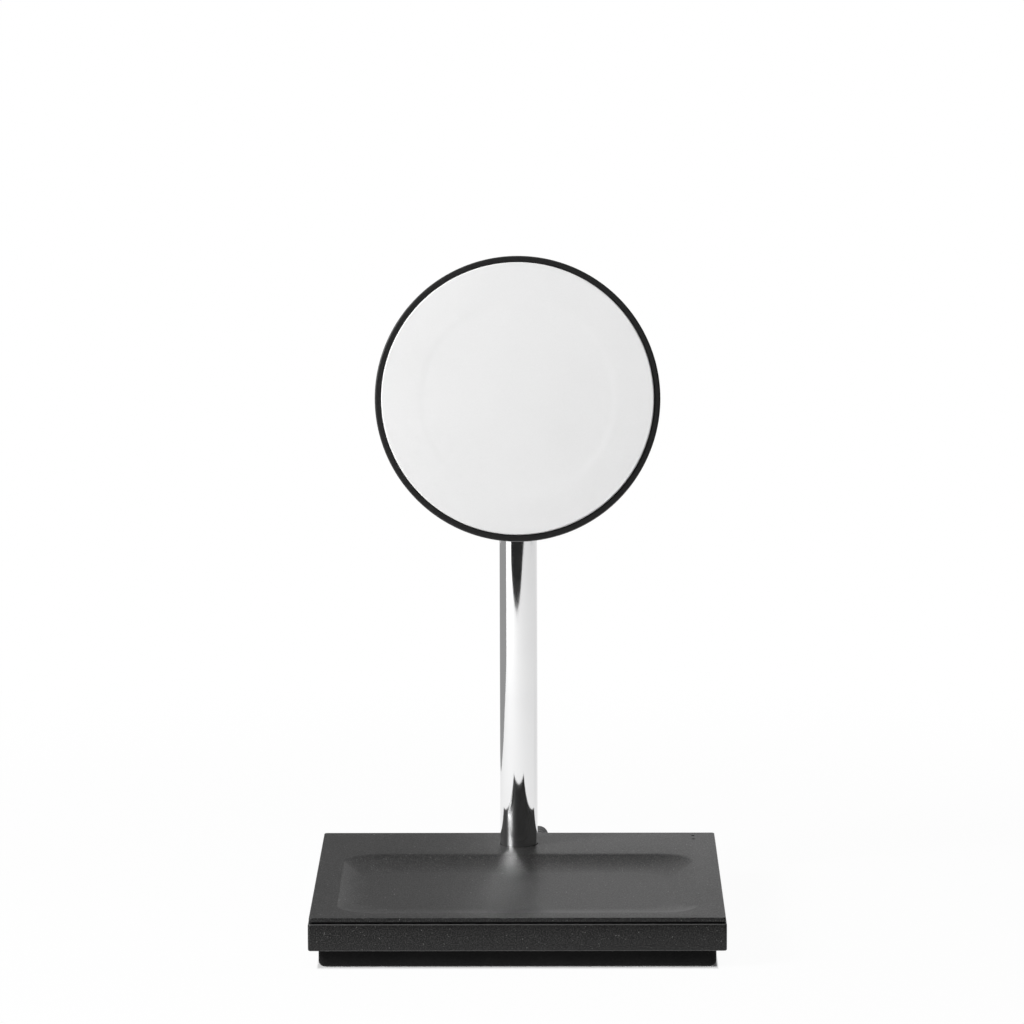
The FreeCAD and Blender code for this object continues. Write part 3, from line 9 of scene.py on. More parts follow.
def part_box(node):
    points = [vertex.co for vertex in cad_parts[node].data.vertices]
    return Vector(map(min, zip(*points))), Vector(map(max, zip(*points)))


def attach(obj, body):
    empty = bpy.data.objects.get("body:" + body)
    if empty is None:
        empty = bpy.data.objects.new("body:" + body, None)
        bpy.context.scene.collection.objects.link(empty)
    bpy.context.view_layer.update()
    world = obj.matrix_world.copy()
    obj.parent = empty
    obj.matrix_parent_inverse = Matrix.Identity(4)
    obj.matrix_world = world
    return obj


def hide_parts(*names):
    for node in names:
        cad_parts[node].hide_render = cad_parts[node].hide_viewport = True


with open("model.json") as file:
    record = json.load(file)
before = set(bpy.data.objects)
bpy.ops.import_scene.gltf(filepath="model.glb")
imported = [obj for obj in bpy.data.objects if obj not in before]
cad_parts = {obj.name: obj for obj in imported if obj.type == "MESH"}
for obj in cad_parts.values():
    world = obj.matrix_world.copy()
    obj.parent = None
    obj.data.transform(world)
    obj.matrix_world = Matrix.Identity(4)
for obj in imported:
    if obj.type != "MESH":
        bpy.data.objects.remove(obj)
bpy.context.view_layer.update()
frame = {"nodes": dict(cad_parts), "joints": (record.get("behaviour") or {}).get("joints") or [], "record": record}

# The foot is a shallow pan of black rubber with a rounded lower edge, set back under the
# body. It is moulded in one piece and glued on, and keeps the matte skin of its mould.
mm = 0.001
foot_low, foot_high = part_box("foot")
foot_corner = 1.4 * mm
foot_round = 1.1 * mm
foot_wall = 1.5 * mm
foot_floor = 0.7 * mm
rubber_black = (0.0035, 0.0035, 0.0036, 1)
rubber_worn = (0.0080, 0.0078, 0.0077, 1)
rubber_grain = 0.35 * mm
rubber_relief = 0.03 * mm
scuff_size = 9 * mm
touching = 1e-7
crease = math.radians(35)


class Socket:
    """An output socket. Arithmetic on one that carries a number adds Math nodes."""

    def __init__(self, nodes, socket):
        self.nodes = nodes
        self.socket = socket

    def math(self, operation, first, second):
        return self.nodes.node("ShaderNodeMath", {"operation": operation}, (first, second))

    def __add__(self, other):
        return self.math("ADD", self, other)

    def __sub__(self, other):
        return self.math("SUBTRACT", self, other)

    def __rsub__(self, other):
        return self.math("SUBTRACT", other, self)

    def __mul__(self, other):
        return self.math("MULTIPLY", self, other)

    def __gt__(self, other):
        return self.math("GREATER_THAN", self, other)

    def __abs__(self):
        return self.math("ABSOLUTE", self, 0)

    def larger(self, other):
        return self.math("MAXIMUM", self, other)

    __radd__ = __add__
    __rmul__ = __mul__


class Nodes:
    """A node tree, of a finish or of the room's light."""

    def __init__(self, tree):
        self.tree = tree

    def node(self, kind, settings=None, sockets=(), output=0):
        node = self.tree.nodes.new(kind)
        for name, setting in (settings or {}).items():
            if name == "stops":
                for element, (position, colour) in zip(node.color_ramp.elements, setting):
                    element.position = position
                    element.color = colour
            else:
                setattr(node, name, setting)
        inputs = sockets.items() if isinstance(sockets, dict) else enumerate(sockets)
        for name, value in inputs:
            if isinstance(value, Socket):
                self.tree.links.new(value.socket, node.inputs[name])
            else:
                node.inputs[name].default_value = value
        return Socket(self, node.outputs[output])


class Finish(Nodes):
    """A material whose nodes read Object coordinates and feed one Principled shader."""

    def __init__(self, name, constants):
        self.material = bpy.data.materials.new(name)
        self.material.use_nodes = True
        super().__init__(self.material.node_tree)
        self.shader = self.tree.nodes["Principled BSDF"]
        for socket, value in constants.items():
            self.shader.inputs[socket].default_value = value
        self.place = self.node("ShaderNodeTexCoord", output="Object")

    def feed(self, socket, value):
        self.tree.links.new(value.socket, self.shader.inputs[socket])


def grain(finish, size, detail=3.0, squeeze=None):
    """Noise from 0 to 1 with features of about that size, squeezed along each axis if asked."""
    place = finish.place
    if squeeze:
        place = finish.node("ShaderNodeMapping", None, {"Vector": place, "Scale": squeeze})
    sockets = {"Vector": place, "Scale": 1 / size, "Detail": detail}
    return finish.node("ShaderNodeTexNoise", None, sockets)


def shades(finish, factor, low, high, dark, light):
    """A colour that goes from dark to light as the factor goes from low to high."""
    stops = ((low, dark), (high, light))
    return finish.node("ShaderNodeValToRGB", {"stops": stops}, {"Fac": factor})


def relief(finish, height, depth):
    """Raise the surface by a height from 0 to 1, times a depth in metres."""
    sockets = {"Height": height, "Distance": depth}
    finish.feed("Normal", finish.node("ShaderNodeBump", None, sockets))


def rounded_block(low, high, corner, segments):
    """A block between two corners of a box, with its upright edges rounded."""
    bm = bmesh.new()
    middle = Matrix.Translation((low + high) / 2)
    bmesh.ops.create_cube(bm, size=1, matrix=middle @ Matrix.Diagonal((*(high - low), 1)))
    upright = [e for e in bm.edges if abs(e.verts[0].co.z - e.verts[1].co.z) > touching]
    round_edges(bm, upright, corner, segments)
    return bm


def round_edges(bm, edges, radius, segments):
    """Bevel edges to a round."""
    bmesh.ops.bevel(
        bm, geom=edges, offset=radius, affect="EDGES", segments=segments, profile=0.5, material=-1
    )


def edges_at(bm, height):
    """The edges that lie at one height."""
    return [e for e in bm.edges if all(abs(v.co.z - height) < touching for v in e.verts)]


def hollow(bm, wall, floor):
    """Sink the top of a block to a floor, leaving a wall round it."""
    top = max(v.co.z for v in bm.verts)
    lid = [f for f in bm.faces if all(abs(v.co.z - top) < touching for v in f.verts)]
    bmesh.ops.inset_region(bm, faces=lid, thickness=wall, use_even_offset=True)
    sunk = bmesh.ops.extrude_face_region(bm, geom=lid)["geom"]
    verts = [item for item in sunk if isinstance(item, bmesh.types.BMVert)]
    bmesh.ops.translate(bm, verts=verts, vec=(0, 0, floor - top))
    bmesh.ops.delete(bm, geom=lid, context="FACES_ONLY")


def piece(name, bm, body, finish, stands_for):
    """Make a finished bmesh an object that rides on a body and stands for a solid."""
    bmesh.ops.remove_doubles(bm, verts=bm.verts, dist=touching)
    bmesh.ops.recalc_face_normals(bm, faces=bm.faces)
    for face in bm.faces:
        face.smooth = True
    for edge in bm.edges:
        edge.smooth = edge.calc_face_angle(math.pi) < crease
    mesh = bpy.data.meshes.new(name)
    bm.to_mesh(mesh)
    bm.free()
    mesh.materials.append(finish.material)
    made = bpy.data.objects.new(name, mesh)
    bpy.context.scene.collection.objects.link(made)
    even = made.modifiers.new("even_shading", "WEIGHTED_NORMAL")
    even.keep_sharp = True
    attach(made, body)
    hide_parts(stands_for)


black_rubber = Finish("black_rubber", {"Specular IOR Level": 0.2})
black_skin = grain(black_rubber, rubber_grain)
scuffs = grain(black_rubber, scuff_size, 5.0)
black_rubber.feed("Base Color", shades(black_rubber, scuffs, 0.35, 0.75, rubber_black, rubber_worn))
black_rubber.feed("Roughness", 0.62 + 0.25 * black_skin)
relief(black_rubber, black_skin, rubber_relief)
bm = rounded_block(foot_low, foot_high, foot_corner, segments=6)
round_edges(bm, edges_at(bm, foot_low.z), foot_round, segments=5)
hollow(bm, foot_wall, foot_floor)
piece("rubber_foot", bm, "base", black_rubber, "foot")

# The ballast plate is a slab of plated steel in the foot, and the screws, the pole's nut,
# the hinge pin and the washers are steel too. They are cut or turned and stay bare.
steel_dark = (0.30, 0.30, 0.31, 1)
steel_light = (0.52, 0.52, 0.53, 1)
stroke_size = 4 * mm
stroke_squeeze = (1, 18, 18)
stroke_relief = 0.01 * mm


def dress(finish, *names):
    """Give solids that keep their own shape a finish."""
    for name in names:
        solid = frame["nodes"][name].data
        solid.materials.clear()
        solid.materials.append(finish.material)


bright_steel = Finish("bright_steel", {"Metallic": 1.0})
strokes = grain(bright_steel, stroke_size, 2.0, stroke_squeeze)
bright_steel.feed("Base Color", shades(bright_steel, strokes, 0.3, 0.7, steel_dark, steel_light))
bright_steel.feed("Roughness", 0.26 + 0.2 * strokes)
relief(bright_steel, strokes, stroke_relief)
dress(bright_steel, "ballast_plate", "cover_screws", "board_screws", "pole_nut", "bracket_screws")
dress(bright_steel, "hinge_pin", "friction_washer_left", "friction_washer_right", "magnet_yoke")

# The body is a moulded tub of dark plastic, painted with a soft-touch coat that has a fine
# grain of flakes and a few bright specks. Paler lines painted along the tub's top and bottom
# edges stand for highlights, and painted shade darkens the groove between the tub and the cover.
body_low, body_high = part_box("base_body")
body_middle = (body_low.z + body_high.z) / 2
body_half = (body_high.z - body_low.z) / 2
body_corner = 0.6 * mm
body_edge = 0.3 * mm
body_bulge = 0.22 * mm
body_wall = 1.6 * mm
body_floor = 1.3 * mm
groove_height = 0.5 * mm
groove_depth = 0.8 * mm
groove_margin = 0.02 * mm
outer_strip = 1.5 * groove_depth
# Painted highlight: the width of the paler lines along the tub's top and bottom edges.
edge_highlight_width = 0.26 * mm
coat_dark = (0.0006, 0.0006, 0.0006, 1)
coat_light = (0.0090, 0.0089, 0.0088, 1)
coat_grain_size = 0.36 * mm
coat_cloud_size = 14 * mm
coat_relief = 0.04 * mm
flake_grey = (0.075, 0.074, 0.073, 1)
flake_size = 0.24 * mm
flake_levels = (0.43, 0.87)
flake_squeeze = (1, 0.3, 1)
speck_grey = (0.16, 0.158, 0.156, 1)
speck_size = 0.3 * mm
speck_levels = (0.79, 0.87)
# Painted highlight colour for the tub's edges, then painted shade colour for the groove above the tub.
painted_edge_highlight_grey = (0.14, 0.139, 0.138, 1)
painted_groove_shade = (0.0004, 0.0004, 0.0004, 1)


def bulge(bm, amount, rows):
    """Draw the front and back of a block in towards its top and bottom, so that they are full."""
    low, high = (limit(v.co.z for v in bm.verts) for limit in (min, max))
    upright = [e for e in bm.edges if abs(e.verts[0].co.z - e.verts[1].co.z) > (high - low) / 2]
    bmesh.ops.subdivide_edges(bm, edges=upright, cuts=rows, use_grid_fill=True)
    half = max(v.co.y for v in bm.verts)
    for vert in bm.verts:
        vert.co.y *= 1 - amount / half * (2 * (vert.co.z - low) / (high - low) - 1) ** 2


def blend(finish, factor, first, second):
    """A colour that goes from the first to the second as the factor goes from 0 to 1."""
    return finish.node("ShaderNodeMix", {"data_type": "RGBA"}, {0: factor, 6: first, 7: second}, 2)


def ramp(finish, value, low, high, start=0.0, end=1.0, shape="LINEAR"):
    """A number that goes from start to end as the value goes from low to high."""
    sockets = {"Value": value, "From Min": low, "From Max": high, "To Min": start, "To Max": end}
    return finish.node("ShaderNodeMapRange", {"interpolation_type": shape}, sockets)


def coordinate(finish, vector, axis):
    """One coordinate of a vector."""
    return finish.node("ShaderNodeSeparateXYZ", None, {"Vector": vector}, axis)


soft_touch = Finish(
    "charcoal_soft_touch",
    {
        "Specular IOR Level": 0.33,
        "Diffuse Roughness": 1.0,
        "Sheen Weight": 0.03,
        "Sheen Roughness": 0.5,
    },
)
coat_grain = grain(soft_touch, coat_grain_size, 2.0)
coat_cloud = grain(soft_touch, coat_cloud_size, 4.0)
flake = grain(soft_touch, flake_size, 1.0, flake_squeeze)
speck = grain(soft_touch, speck_size, 0.0, flake_squeeze)
off_axis = soft_touch.node("ShaderNodeVectorMath", {"operation": "ABSOLUTE"}, (soft_touch.place,))
sideways, lengthways, coat_height = (coordinate(soft_touch, off_axis, axis) for axis in "XYZ")
outside = sideways.larger(lengthways) > body_high.x - outer_strip
above_body = coat_height > body_high.z - groove_margin
above_groove = coat_height > body_high.z + groove_height - groove_margin
# Painted shade: the groove between the tub and the cover is coloured near black.
groove_shade_mask = outside * above_body * (1 - above_groove)
# Painted highlight: paler lines along the tub's top and bottom edges.
near_edge = ramp(soft_touch, abs(coat_height - body_middle), body_half - edge_highlight_width, body_half)
painted_edge_highlight = near_edge * outside * (1 - above_body)
tone = 0.85 * coat_grain + 0.15 * coat_cloud
coat = shades(soft_touch, tone, 0.36, 0.66, coat_dark, coat_light)
coat = blend(soft_touch, ramp(soft_touch, flake, *flake_levels), coat, flake_grey)
coat = blend(soft_touch, ramp(soft_touch, speck, *speck_levels), coat, speck_grey)
# The painted edge highlights, then the painted groove shade, go over the coat.
coat = blend(soft_touch, painted_edge_highlight, coat, painted_edge_highlight_grey)
soft_touch.feed("Base Color", blend(soft_touch, groove_shade_mask, coat, painted_groove_shade))
soft_touch.feed("Roughness", 0.30 + 0.20 * coat_grain + 0.03 * coat_cloud + 0.4 * groove_shade_mask)
relief(soft_touch, coat_grain, coat_relief)
bm = rounded_block(body_low, body_high, body_corner, segments=5)
bulge(bm, body_bulge, rows=9)
body_edges = edges_at(bm, body_low.z) + edges_at(bm, body_high.z)
round_edges(bm, body_edges, body_edge, segments=3)
hollow(bm, body_wall, body_low.z + body_floor)
piece("body_tub", bm, "base", soft_touch, "base_body")

# The circuit board is glass fibre with a green mask, and its parts stand on it as black
# blocks. It is screwed to the tub's floor behind the tray.
board_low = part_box("circuit_board")[0]
board_thickness = 1 * mm
board_margin = 0.05 * mm
track_cell = 4 * mm
track_width = 0.06
mask_green = (0.008, 0.06, 0.022, 1)
mask_track = (0.014, 0.10, 0.036, 1)
chip_black = (0.012, 0.012, 0.013, 1)

board = Finish("circuit_board", {"Specular IOR Level": 0.5})
tracks = board.node(
    "ShaderNodeTexBrick",
    {"offset": 0.5},
    {
        "Vector": board.place,
        "Color1": mask_green,
        "Color2": mask_green,
        "Mortar": mask_track,
        "Scale": 1 / track_cell,
        "Mortar Size": track_width,
    },
)
on_top = coordinate(board, board.place, "Z") > board_low.z + board_thickness + board_margin
board.feed("Base Color", blend(board, on_top, tracks, chip_black))
board.feed("Roughness", 0.35 + 0.2 * on_top)
dress(board, "circuit_board")

# Both charging coils are flat spirals of enamelled copper wire, glued to their ferrite
# shields. The shields are sintered sheets, dark and slightly speckled.
copper_dark = (0.16, 0.045, 0.016, 1)
copper_light = (0.58, 0.24, 0.10, 1)
wire_pitch = 0.8 * mm
wire_relief = 0.2 * mm
ferrite_dark = (0.016, 0.016, 0.017, 1)
ferrite_light = (0.045, 0.044, 0.043, 1)
crystal_size = 0.5 * mm

enamelled_wire = Finish("enamelled_wire", {"Metallic": 0.9})
strands = enamelled_wire.node(
    "ShaderNodeTexWave",
    {"wave_type": "BANDS", "bands_direction": "X"},
    {"Vector": enamelled_wire.place, "Scale": 0.5 / wire_pitch, "Distortion": 0.6},
)
copper = shades(enamelled_wire, strands, 0.1, 0.8, copper_dark, copper_light)
enamelled_wire.feed("Base Color", copper)
enamelled_wire.feed("Roughness", 0.3 + 0.15 * strands)
relief(enamelled_wire, strands, wire_relief)
dress(enamelled_wire, "tray_coil", "head_coil")

ferrite = Finish("ferrite", {"Specular IOR Level": 0.4})
crystals = grain(ferrite, crystal_size, 4.0)
ferrite.feed("Base Color", shades(ferrite, crystals, 0.35, 0.7, ferrite_dark, ferrite_light))
ferrite.feed("Roughness", 0.5 + 0.3 * crystals)
dress(ferrite, "tray_ferrite", "head_ferrite")

# The cover is one thin moulding with the same soft-touch coat: a plate over a set-back rim,
# with a hole for the pole and two pinholes. Its dished tray sinks in a curve from a crisp
# lip, over a longer slope at the front and the back than at the sides.
cover_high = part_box("tray_cover")[1]
pole_low, pole_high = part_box("pole")
lamp_low, lamp_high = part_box("light_guide")
base_half = body_high.x
cover_top = cover_high.z
cover_half = cover_high.x
cover_edge = cover_top - body_high.z - groove_height
cover_rim_half = base_half - groove_depth
cover_round = 0.25 * mm
cover_corner = 0.6 * mm
tray_inset = 5.05 * mm
tray_back = 21.8 * mm
tray_half = cover_half - tray_inset
tray_front = tray_inset - cover_half
tray_rear = cover_half - tray_back
tray_middle = (tray_front + tray_rear) / 2
tray_depth = 1.5 * mm
tray_side_run = 6.5 * mm
tray_back_run = 13 * mm
tray_front_run = 11 * mm
tray_corner = 7.5 * mm
tray_skin = 1.2 * mm
tray_steps = 14
pole_radius = (pole_high.x - pole_low.x) / 2
pole_axis = Vector((0, (pole_low.y + pole_high.y) / 2, 0))
pole_gap = 0.12 * mm
pole_hole_facets = 64
lamp_axis = (lamp_low + lamp_high) / 2
lamp_hole = 0.4 * mm
lamp_hole_facets = 24
lamp_spacing = 3.5 * mm


def edges_of(verts):
    """The edges that meet at some vertices, each once and in their order."""
    return list(dict.fromkeys(e for v in verts for e in v.link_edges))


def outline(bm, half_width, front, back, height, corner):
    """A rounded rectangle of edges at one height."""
    at = Matrix.Translation((0, (front + back) / 2, height))
    size = Matrix.Diagonal((half_width, (back - front) / 2, 1, 1))
    face = bmesh.ops.create_grid(bm, x_segments=1, y_segments=1, size=1, matrix=at @ size)
    loop = bmesh.ops.bevel(
        bm,
        geom=face["verts"],
        offset=corner,
        affect="VERTICES",
        segments=10,
        profile=0.5,
        material=-1,
    )["verts"]
    bmesh.ops.delete(bm, geom=list(loop[0].link_faces), context="FACES_ONLY")
    return edges_of(loop)


def hole(bm, centre, radius, height, facets):
    """A circle of edges at one height."""
    at = Matrix.Translation((centre.x, centre.y, height))
    ring = bmesh.ops.create_circle(bm, segments=facets, radius=radius, matrix=at)
    return edges_of(ring["verts"])


def drawn_out(bm, edges, move):
    """Extrude a loop, moving each vertex by what a function of its place gives."""
    grown = bmesh.ops.extrude_edge_only(bm, edges=edges)["geom"]
    for vert in grown:
        if isinstance(vert, bmesh.types.BMVert):
            vert.co += move(vert.co)
    return [e for e in grown if isinstance(e, bmesh.types.BMEdge) and len(e.link_faces) == 1]


def sink_tray(bm, loop, depth, steps, spread):
    """Draw a loop of the tray down its slopes and close it with the flat floor."""
    for step in range(steps):
        drop = depth * ((1 - step / steps) ** 2 - (1 - (step + 1) / steps) ** 2)

        def slope(place):
            run = tray_back_run if place.y > tray_middle else tray_front_run
            inwards_x = math.copysign((tray_side_run - spread) / steps, -place.x)
            inwards_y = math.copysign((run - spread) / steps, tray_middle - place.y)
            return Vector((inwards_x, inwards_y, -drop))

        loop = drawn_out(bm, loop, slope)
    bmesh.ops.edgeloop_fill(bm, edges=loop)


bm = bmesh.new()
plates = []
for level, half in ((cover_top, cover_half), (body_high.z, cover_rim_half)):
    edge = outline(bm, half, -half, half, level, cover_corner)
    tray = outline(bm, tray_half, tray_front, tray_rear, level, tray_corner)
    bores = [hole(bm, pole_axis, pole_radius + pole_gap, level, pole_hole_facets)]
    for end in (-1, 1):
        lamp = lamp_axis + Vector((0, end * lamp_spacing / 2, 0))
        bores.append(hole(bm, lamp, lamp_hole, level, lamp_hole_facets))
    every = edge + tray + [e for bore in bores for e in bore]
    bmesh.ops.triangle_fill(bm, edges=every, use_beauty=True)
    plates.append((edge, tray, bores))
(top_edge, top_tray, top_bores), (low_edge, low_tray, low_bores) = plates
for upper, lower in zip(top_bores, low_bores):
    bmesh.ops.bridge_loops(bm, edges=upper + lower)
sink_tray(bm, top_tray, tray_depth, tray_steps, 0)
sink_tray(bm, low_tray, body_high.z - cover_top + tray_depth + tray_skin, 1, tray_skin)
skirt = drawn_out(bm, top_edge, lambda place: Vector((0, 0, -cover_edge)))
set_back = cover_rim_half / cover_half - 1
skirt = drawn_out(bm, skirt, lambda place: Vector((place.x * set_back, place.y * set_back, 0)))
bmesh.ops.bridge_loops(bm, edges=skirt + low_edge)
bmesh.ops.recalc_face_normals(bm, faces=bm.faces)
round_edges(bm, [e for e in top_edge if e.is_valid], cover_round, segments=3)
piece("dished_cover", bm, "base", soft_touch, "tray_cover")

# The light guide is a clear moulding under the pinholes. Unlit, its two pins look like
# dark smoked plastic, a little below the cover's surface.
smoke_dark = (0.004, 0.004, 0.0045, 1)
smoke_light = (0.010, 0.010, 0.011, 1)
haze_size = 0.6 * mm

clear_guide = Finish("clear_guide", {"Specular IOR Level": 0.2})
haze = grain(clear_guide, haze_size)
clear_guide.feed("Base Color", shades(clear_guide, haze, 0.3, 0.7, smoke_dark, smoke_light))
clear_guide.feed("Roughness", 0.15 + 0.2 * haze)
dress(clear_guide, "light_guide")

# The cable gland is a tapered boot of grey rubber with relief grooves, moulded on a flange
# that sits inside the back wall. Its bore is open at the rear end.
gland_low, gland_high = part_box("cable_gland")
gland_axis = Vector(((gland_low.x + gland_high.x) / 2, base_half, (gland_low.z + gland_high.z) / 2))
gland_length = gland_high.y - base_half
gland_root = 2.4 * mm
gland_end = 2.05 * mm
gland_neck = 1.95 * mm
gland_bore = 1.5 * mm
gland_round = 0.45 * mm
gland_facets = 64
rib_count = 4
rib_pitch = gland_length / (rib_count + 2)
rib_gap = rib_pitch / 3
rib_depth = 0.4 * mm
gland_dark = (0.10, 0.10, 0.102, 1)
gland_light = (0.17, 0.17, 0.172, 1)
ring_slack = 1e-6


def turned(profile, facets, placed, rounds=()):
    """A closed outline of radius and height, spun about the upright axis and put in place.

    Each round names a ring by its radius and height, then its rounding and its segments.
    """
    bm = bmesh.new()
    points = [bm.verts.new((radius, 0, height)) for radius, height in profile]
    lines = [bm.edges.new(pair) for pair in zip(points, points[1:] + points[:1])]
    bmesh.ops.spin(
        bm,
        geom=points + lines,
        cent=(0, 0, 0),
        axis=(0, 0, 1),
        angle=2 * math.pi,
        steps=facets,
        use_merge=True,
    )
    bmesh.ops.remove_doubles(bm, verts=bm.verts, dist=touching)
    bmesh.ops.delete(bm, geom=[e for e in bm.edges if not e.link_faces], context="EDGES")
    bmesh.ops.recalc_face_normals(bm, faces=bm.faces)
    for radius, height, rounding, segments in rounds:
        near = {
            v
            for v in bm.verts
            if abs(v.co.z - height) < ring_slack and abs(v.co.xy.length - radius) < ring_slack
        }
        round_edges(bm, [e for e in bm.edges if near.issuperset(e.verts)], rounding, segments)
    bmesh.ops.transform(bm, verts=bm.verts, matrix=placed)
    return bm


grey_rubber = Finish("grey_rubber", {"Specular IOR Level": 0.35})
grey_skin = grain(grey_rubber, rubber_grain)
grey_rubber.feed("Base Color", shades(grey_rubber, grey_skin, 0.3, 0.7, gland_dark, gland_light))
grey_rubber.feed("Roughness", 0.55 + 0.25 * grey_skin)
relief(grey_rubber, grey_skin, rubber_relief)
boot = [(gland_bore, -body_wall), (gland_neck, -body_wall), (gland_neck, 0), (gland_root, 0)]
for rib in range(1, rib_count + 1):
    for onwards, cut in ((0, 0), (0, rib_depth), (rib_gap, rib_depth), (rib_gap, 0)):
        reach = rib * rib_pitch + onwards
        taper = (gland_root - gland_end) * reach / gland_length
        boot.append((gland_root - taper - cut, reach))
boot += [(gland_end, gland_length), (gland_bore, gland_length)]
rearwards = Matrix.Translation(gland_axis) @ Matrix.Rotation(-math.pi / 2, 4, "X")
bm = turned(boot, gland_facets, rearwards, [(gland_end, gland_length, gland_round, 5)])
piece("gland_boot", bm, "base", grey_rubber, "cable_gland")

# The pole is a drawn tube with polished chrome plate. It stands on the tub's floor, is held
# by a nut under the ballast plate, and shows faint polishing marks and smears.
pole_bore = 2.7 * mm
pole_shank = 3.3 * mm
pole_facets = 128
pole_shoulder = body_low.z + body_floor
chrome_tint = (0.90, 0.90, 0.905, 1)
chrome_bright = (0.95, 0.95, 0.952, 1)
smear_size = 18 * mm
polish_size = 6 * mm
polish_squeeze = (1, 1, 26)

chrome = Finish("chrome", {"Metallic": 1.0})
smear = grain(chrome, smear_size, 4.0)
polish = grain(chrome, polish_size, 2.0, polish_squeeze)
chrome.feed("Base Color", shades(chrome, smear, 0.3, 0.7, chrome_tint, chrome_bright))
chrome.feed("Roughness", 0.02 + 0.03 * smear + 0.02 * polish)
tube = [
    (pole_bore, pole_low.z),
    (pole_shank, pole_low.z),
    (pole_shank, pole_shoulder),
    (pole_radius, pole_shoulder),
    (pole_radius, pole_high.z),
    (pole_bore, pole_high.z),
]
bm = turned(tube, pole_facets, Matrix.Translation(pole_axis))
piece("chromed_pole", bm, "base", chrome, "pole")

# The knuckle is turned and milled from the same metal and chromed with the pole, which it
# is pressed into. Its eye turns on the hinge pin between two washers.


def smoothed(name):
    """A copy of a solid with its triangles joined, ready for smooth shading."""
    bm = bmesh.new()
    bm.from_mesh(frame["nodes"][name].data)
    bmesh.ops.remove_doubles(bm, verts=bm.verts, dist=touching)
    return bm


piece("chromed_knuckle", smoothed("hinge_knuckle"), "base", chrome, "hinge_knuckle")

# The leads are fine stranded wires in black insulation. One comes up the pole and the
# other goes on through the hollow hinge pin into the head.
sleeve_dark = (0.008, 0.008, 0.008, 1)
sleeve_light = (0.02, 0.02, 0.02, 1)
sleeve_grain = 0.5 * mm

insulation = Finish("insulation", {"Specular IOR Level": 0.4})
sleeve = grain(insulation, sleeve_grain)
insulation.feed("Base Color", shades(insulation, sleeve, 0.3, 0.7, sleeve_dark, sleeve_light))
insulation.feed("Roughness", 0.4 + 0.2 * sleeve)
dress(insulation, "pole_lead", "head_lead")

# The head's housing is a turned aluminium cup, blasted and anodised black. Its narrow rim
# stands round the pad, and its back edge is well rounded.
hinge = Vector(frame["joints"][0]["pos_m"])
mounts = {mount["name"]: mount for mount in frame["record"]["mounts"]}
facing = Vector(mounts["phone_face"]["axis"])
lean_back = math.atan2(facing.z, -facing.y)
head_placed = Matrix.Translation(hinge) @ Matrix.Rotation(math.pi / 2 - lean_back, 4, "X")
head_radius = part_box("head_housing")[1].x
head_depth = 7.5 * mm
head_wall = 1.5 * mm
head_back_round = 2.4 * mm
head_facets = 192
rim_width = 1.2 * mm
rim_round = 0.3 * mm
rim_inner_round = 0.1 * mm
ledge_width = 1.4 * mm
rim_radius = head_radius - rim_width
ledge_radius = rim_radius - ledge_width
pad_proud = 0.4 * mm
pad_thickness = 1.6 * mm
pad_front = (Vector(mounts["phone_face"]["pos_m"]) - hinge).length
pad_seat = pad_front - pad_thickness
rim_front = pad_front - pad_proud
head_back = rim_front - head_depth
anodised_dark = (0.0075, 0.0075, 0.0078, 1)
anodised_light = (0.0135, 0.0133, 0.0132, 1)
blasting_size = 0.25 * mm
blasting_relief = 0.012 * mm

anodised = Finish("black_anodised", {"Specular IOR Level": 0.5})
blasting = grain(anodised, blasting_size, 2.0)
anodised.feed("Base Color", shades(anodised, blasting, 0.35, 0.65, anodised_dark, anodised_light))
anodised.feed("Roughness", 0.36 + 0.16 * blasting)
relief(anodised, blasting, blasting_relief)
cup = [
    (0, head_back),
    (head_radius, head_back),
    (head_radius, rim_front),
    (rim_radius, rim_front),
    (rim_radius, pad_seat),
    (ledge_radius, pad_seat),
    (ledge_radius, head_back + head_wall),
    (0, head_back + head_wall),
]
cup_rounds = [
    (head_radius, head_back, head_back_round, 8),
    (head_radius, rim_front, rim_round, 4),
    (rim_radius, rim_front, rim_inner_round, 2),
]
bm = turned(cup, head_facets, head_placed, cup_rounds)
piece("head_cup", bm, "head", anodised, "head_housing")

# The hinge bracket and its two caps are milled from the same aluminium and anodised with
# the housing. The bracket is screwed on from inside and its ears hold the hinge pin.
for name in ("hinge_bracket", "hinge_cap_left", "hinge_cap_right"):
    black_name = "anodised_" + name.removeprefix("hinge_")
    piece(black_name, smoothed(name), "head", anodised, name)

# The coil carrier is a plain grey moulding inside the head. The magnets are pressed
# segments with bright nickel plate, laid round it in a ring.
carrier_dark = (0.06, 0.06, 0.06, 1)
carrier_light = (0.09, 0.09, 0.09, 1)
carrier_grain = 0.6 * mm
nickel_dark = (0.48, 0.47, 0.45, 1)
nickel_light = (0.66, 0.65, 0.62, 1)
nickel_grain = 0.8 * mm

moulding = Finish("grey_moulding", {"Specular IOR Level": 0.4})
moulded = grain(moulding, carrier_grain)
moulding.feed("Base Color", shades(moulding, moulded, 0.3, 0.7, carrier_dark, carrier_light))
moulding.feed("Roughness", 0.45 + 0.2 * moulded)
dress(moulding, "coil_carrier")

nickel = Finish("nickel_plate", {"Metallic": 1.0})
plating = grain(nickel, nickel_grain)
nickel.feed("Base Color", shades(nickel, plating, 0.3, 0.7, nickel_dark, nickel_light))
nickel.feed("Roughness", 0.2 + 0.2 * plating)
dress(nickel, "magnet_ring")

# The charging pad is a white satin disc with a softly rounded edge, glued on the ledge of
# the housing. Its middle has sunk very slightly over the coil.
pad_gap = 0.15 * mm
pad_radius = rim_radius - pad_gap
pad_round = 0.3 * mm
sunk_radius = 20.4 * mm
sunk_edge = 2.2 * mm
sunk_depth = 0.05 * mm
pad_white = (0.80, 0.80, 0.80, 1)
pad_bright = (0.83, 0.83, 0.83, 1)
satin_size = 0.3 * mm
pad_cloud_size = 16 * mm

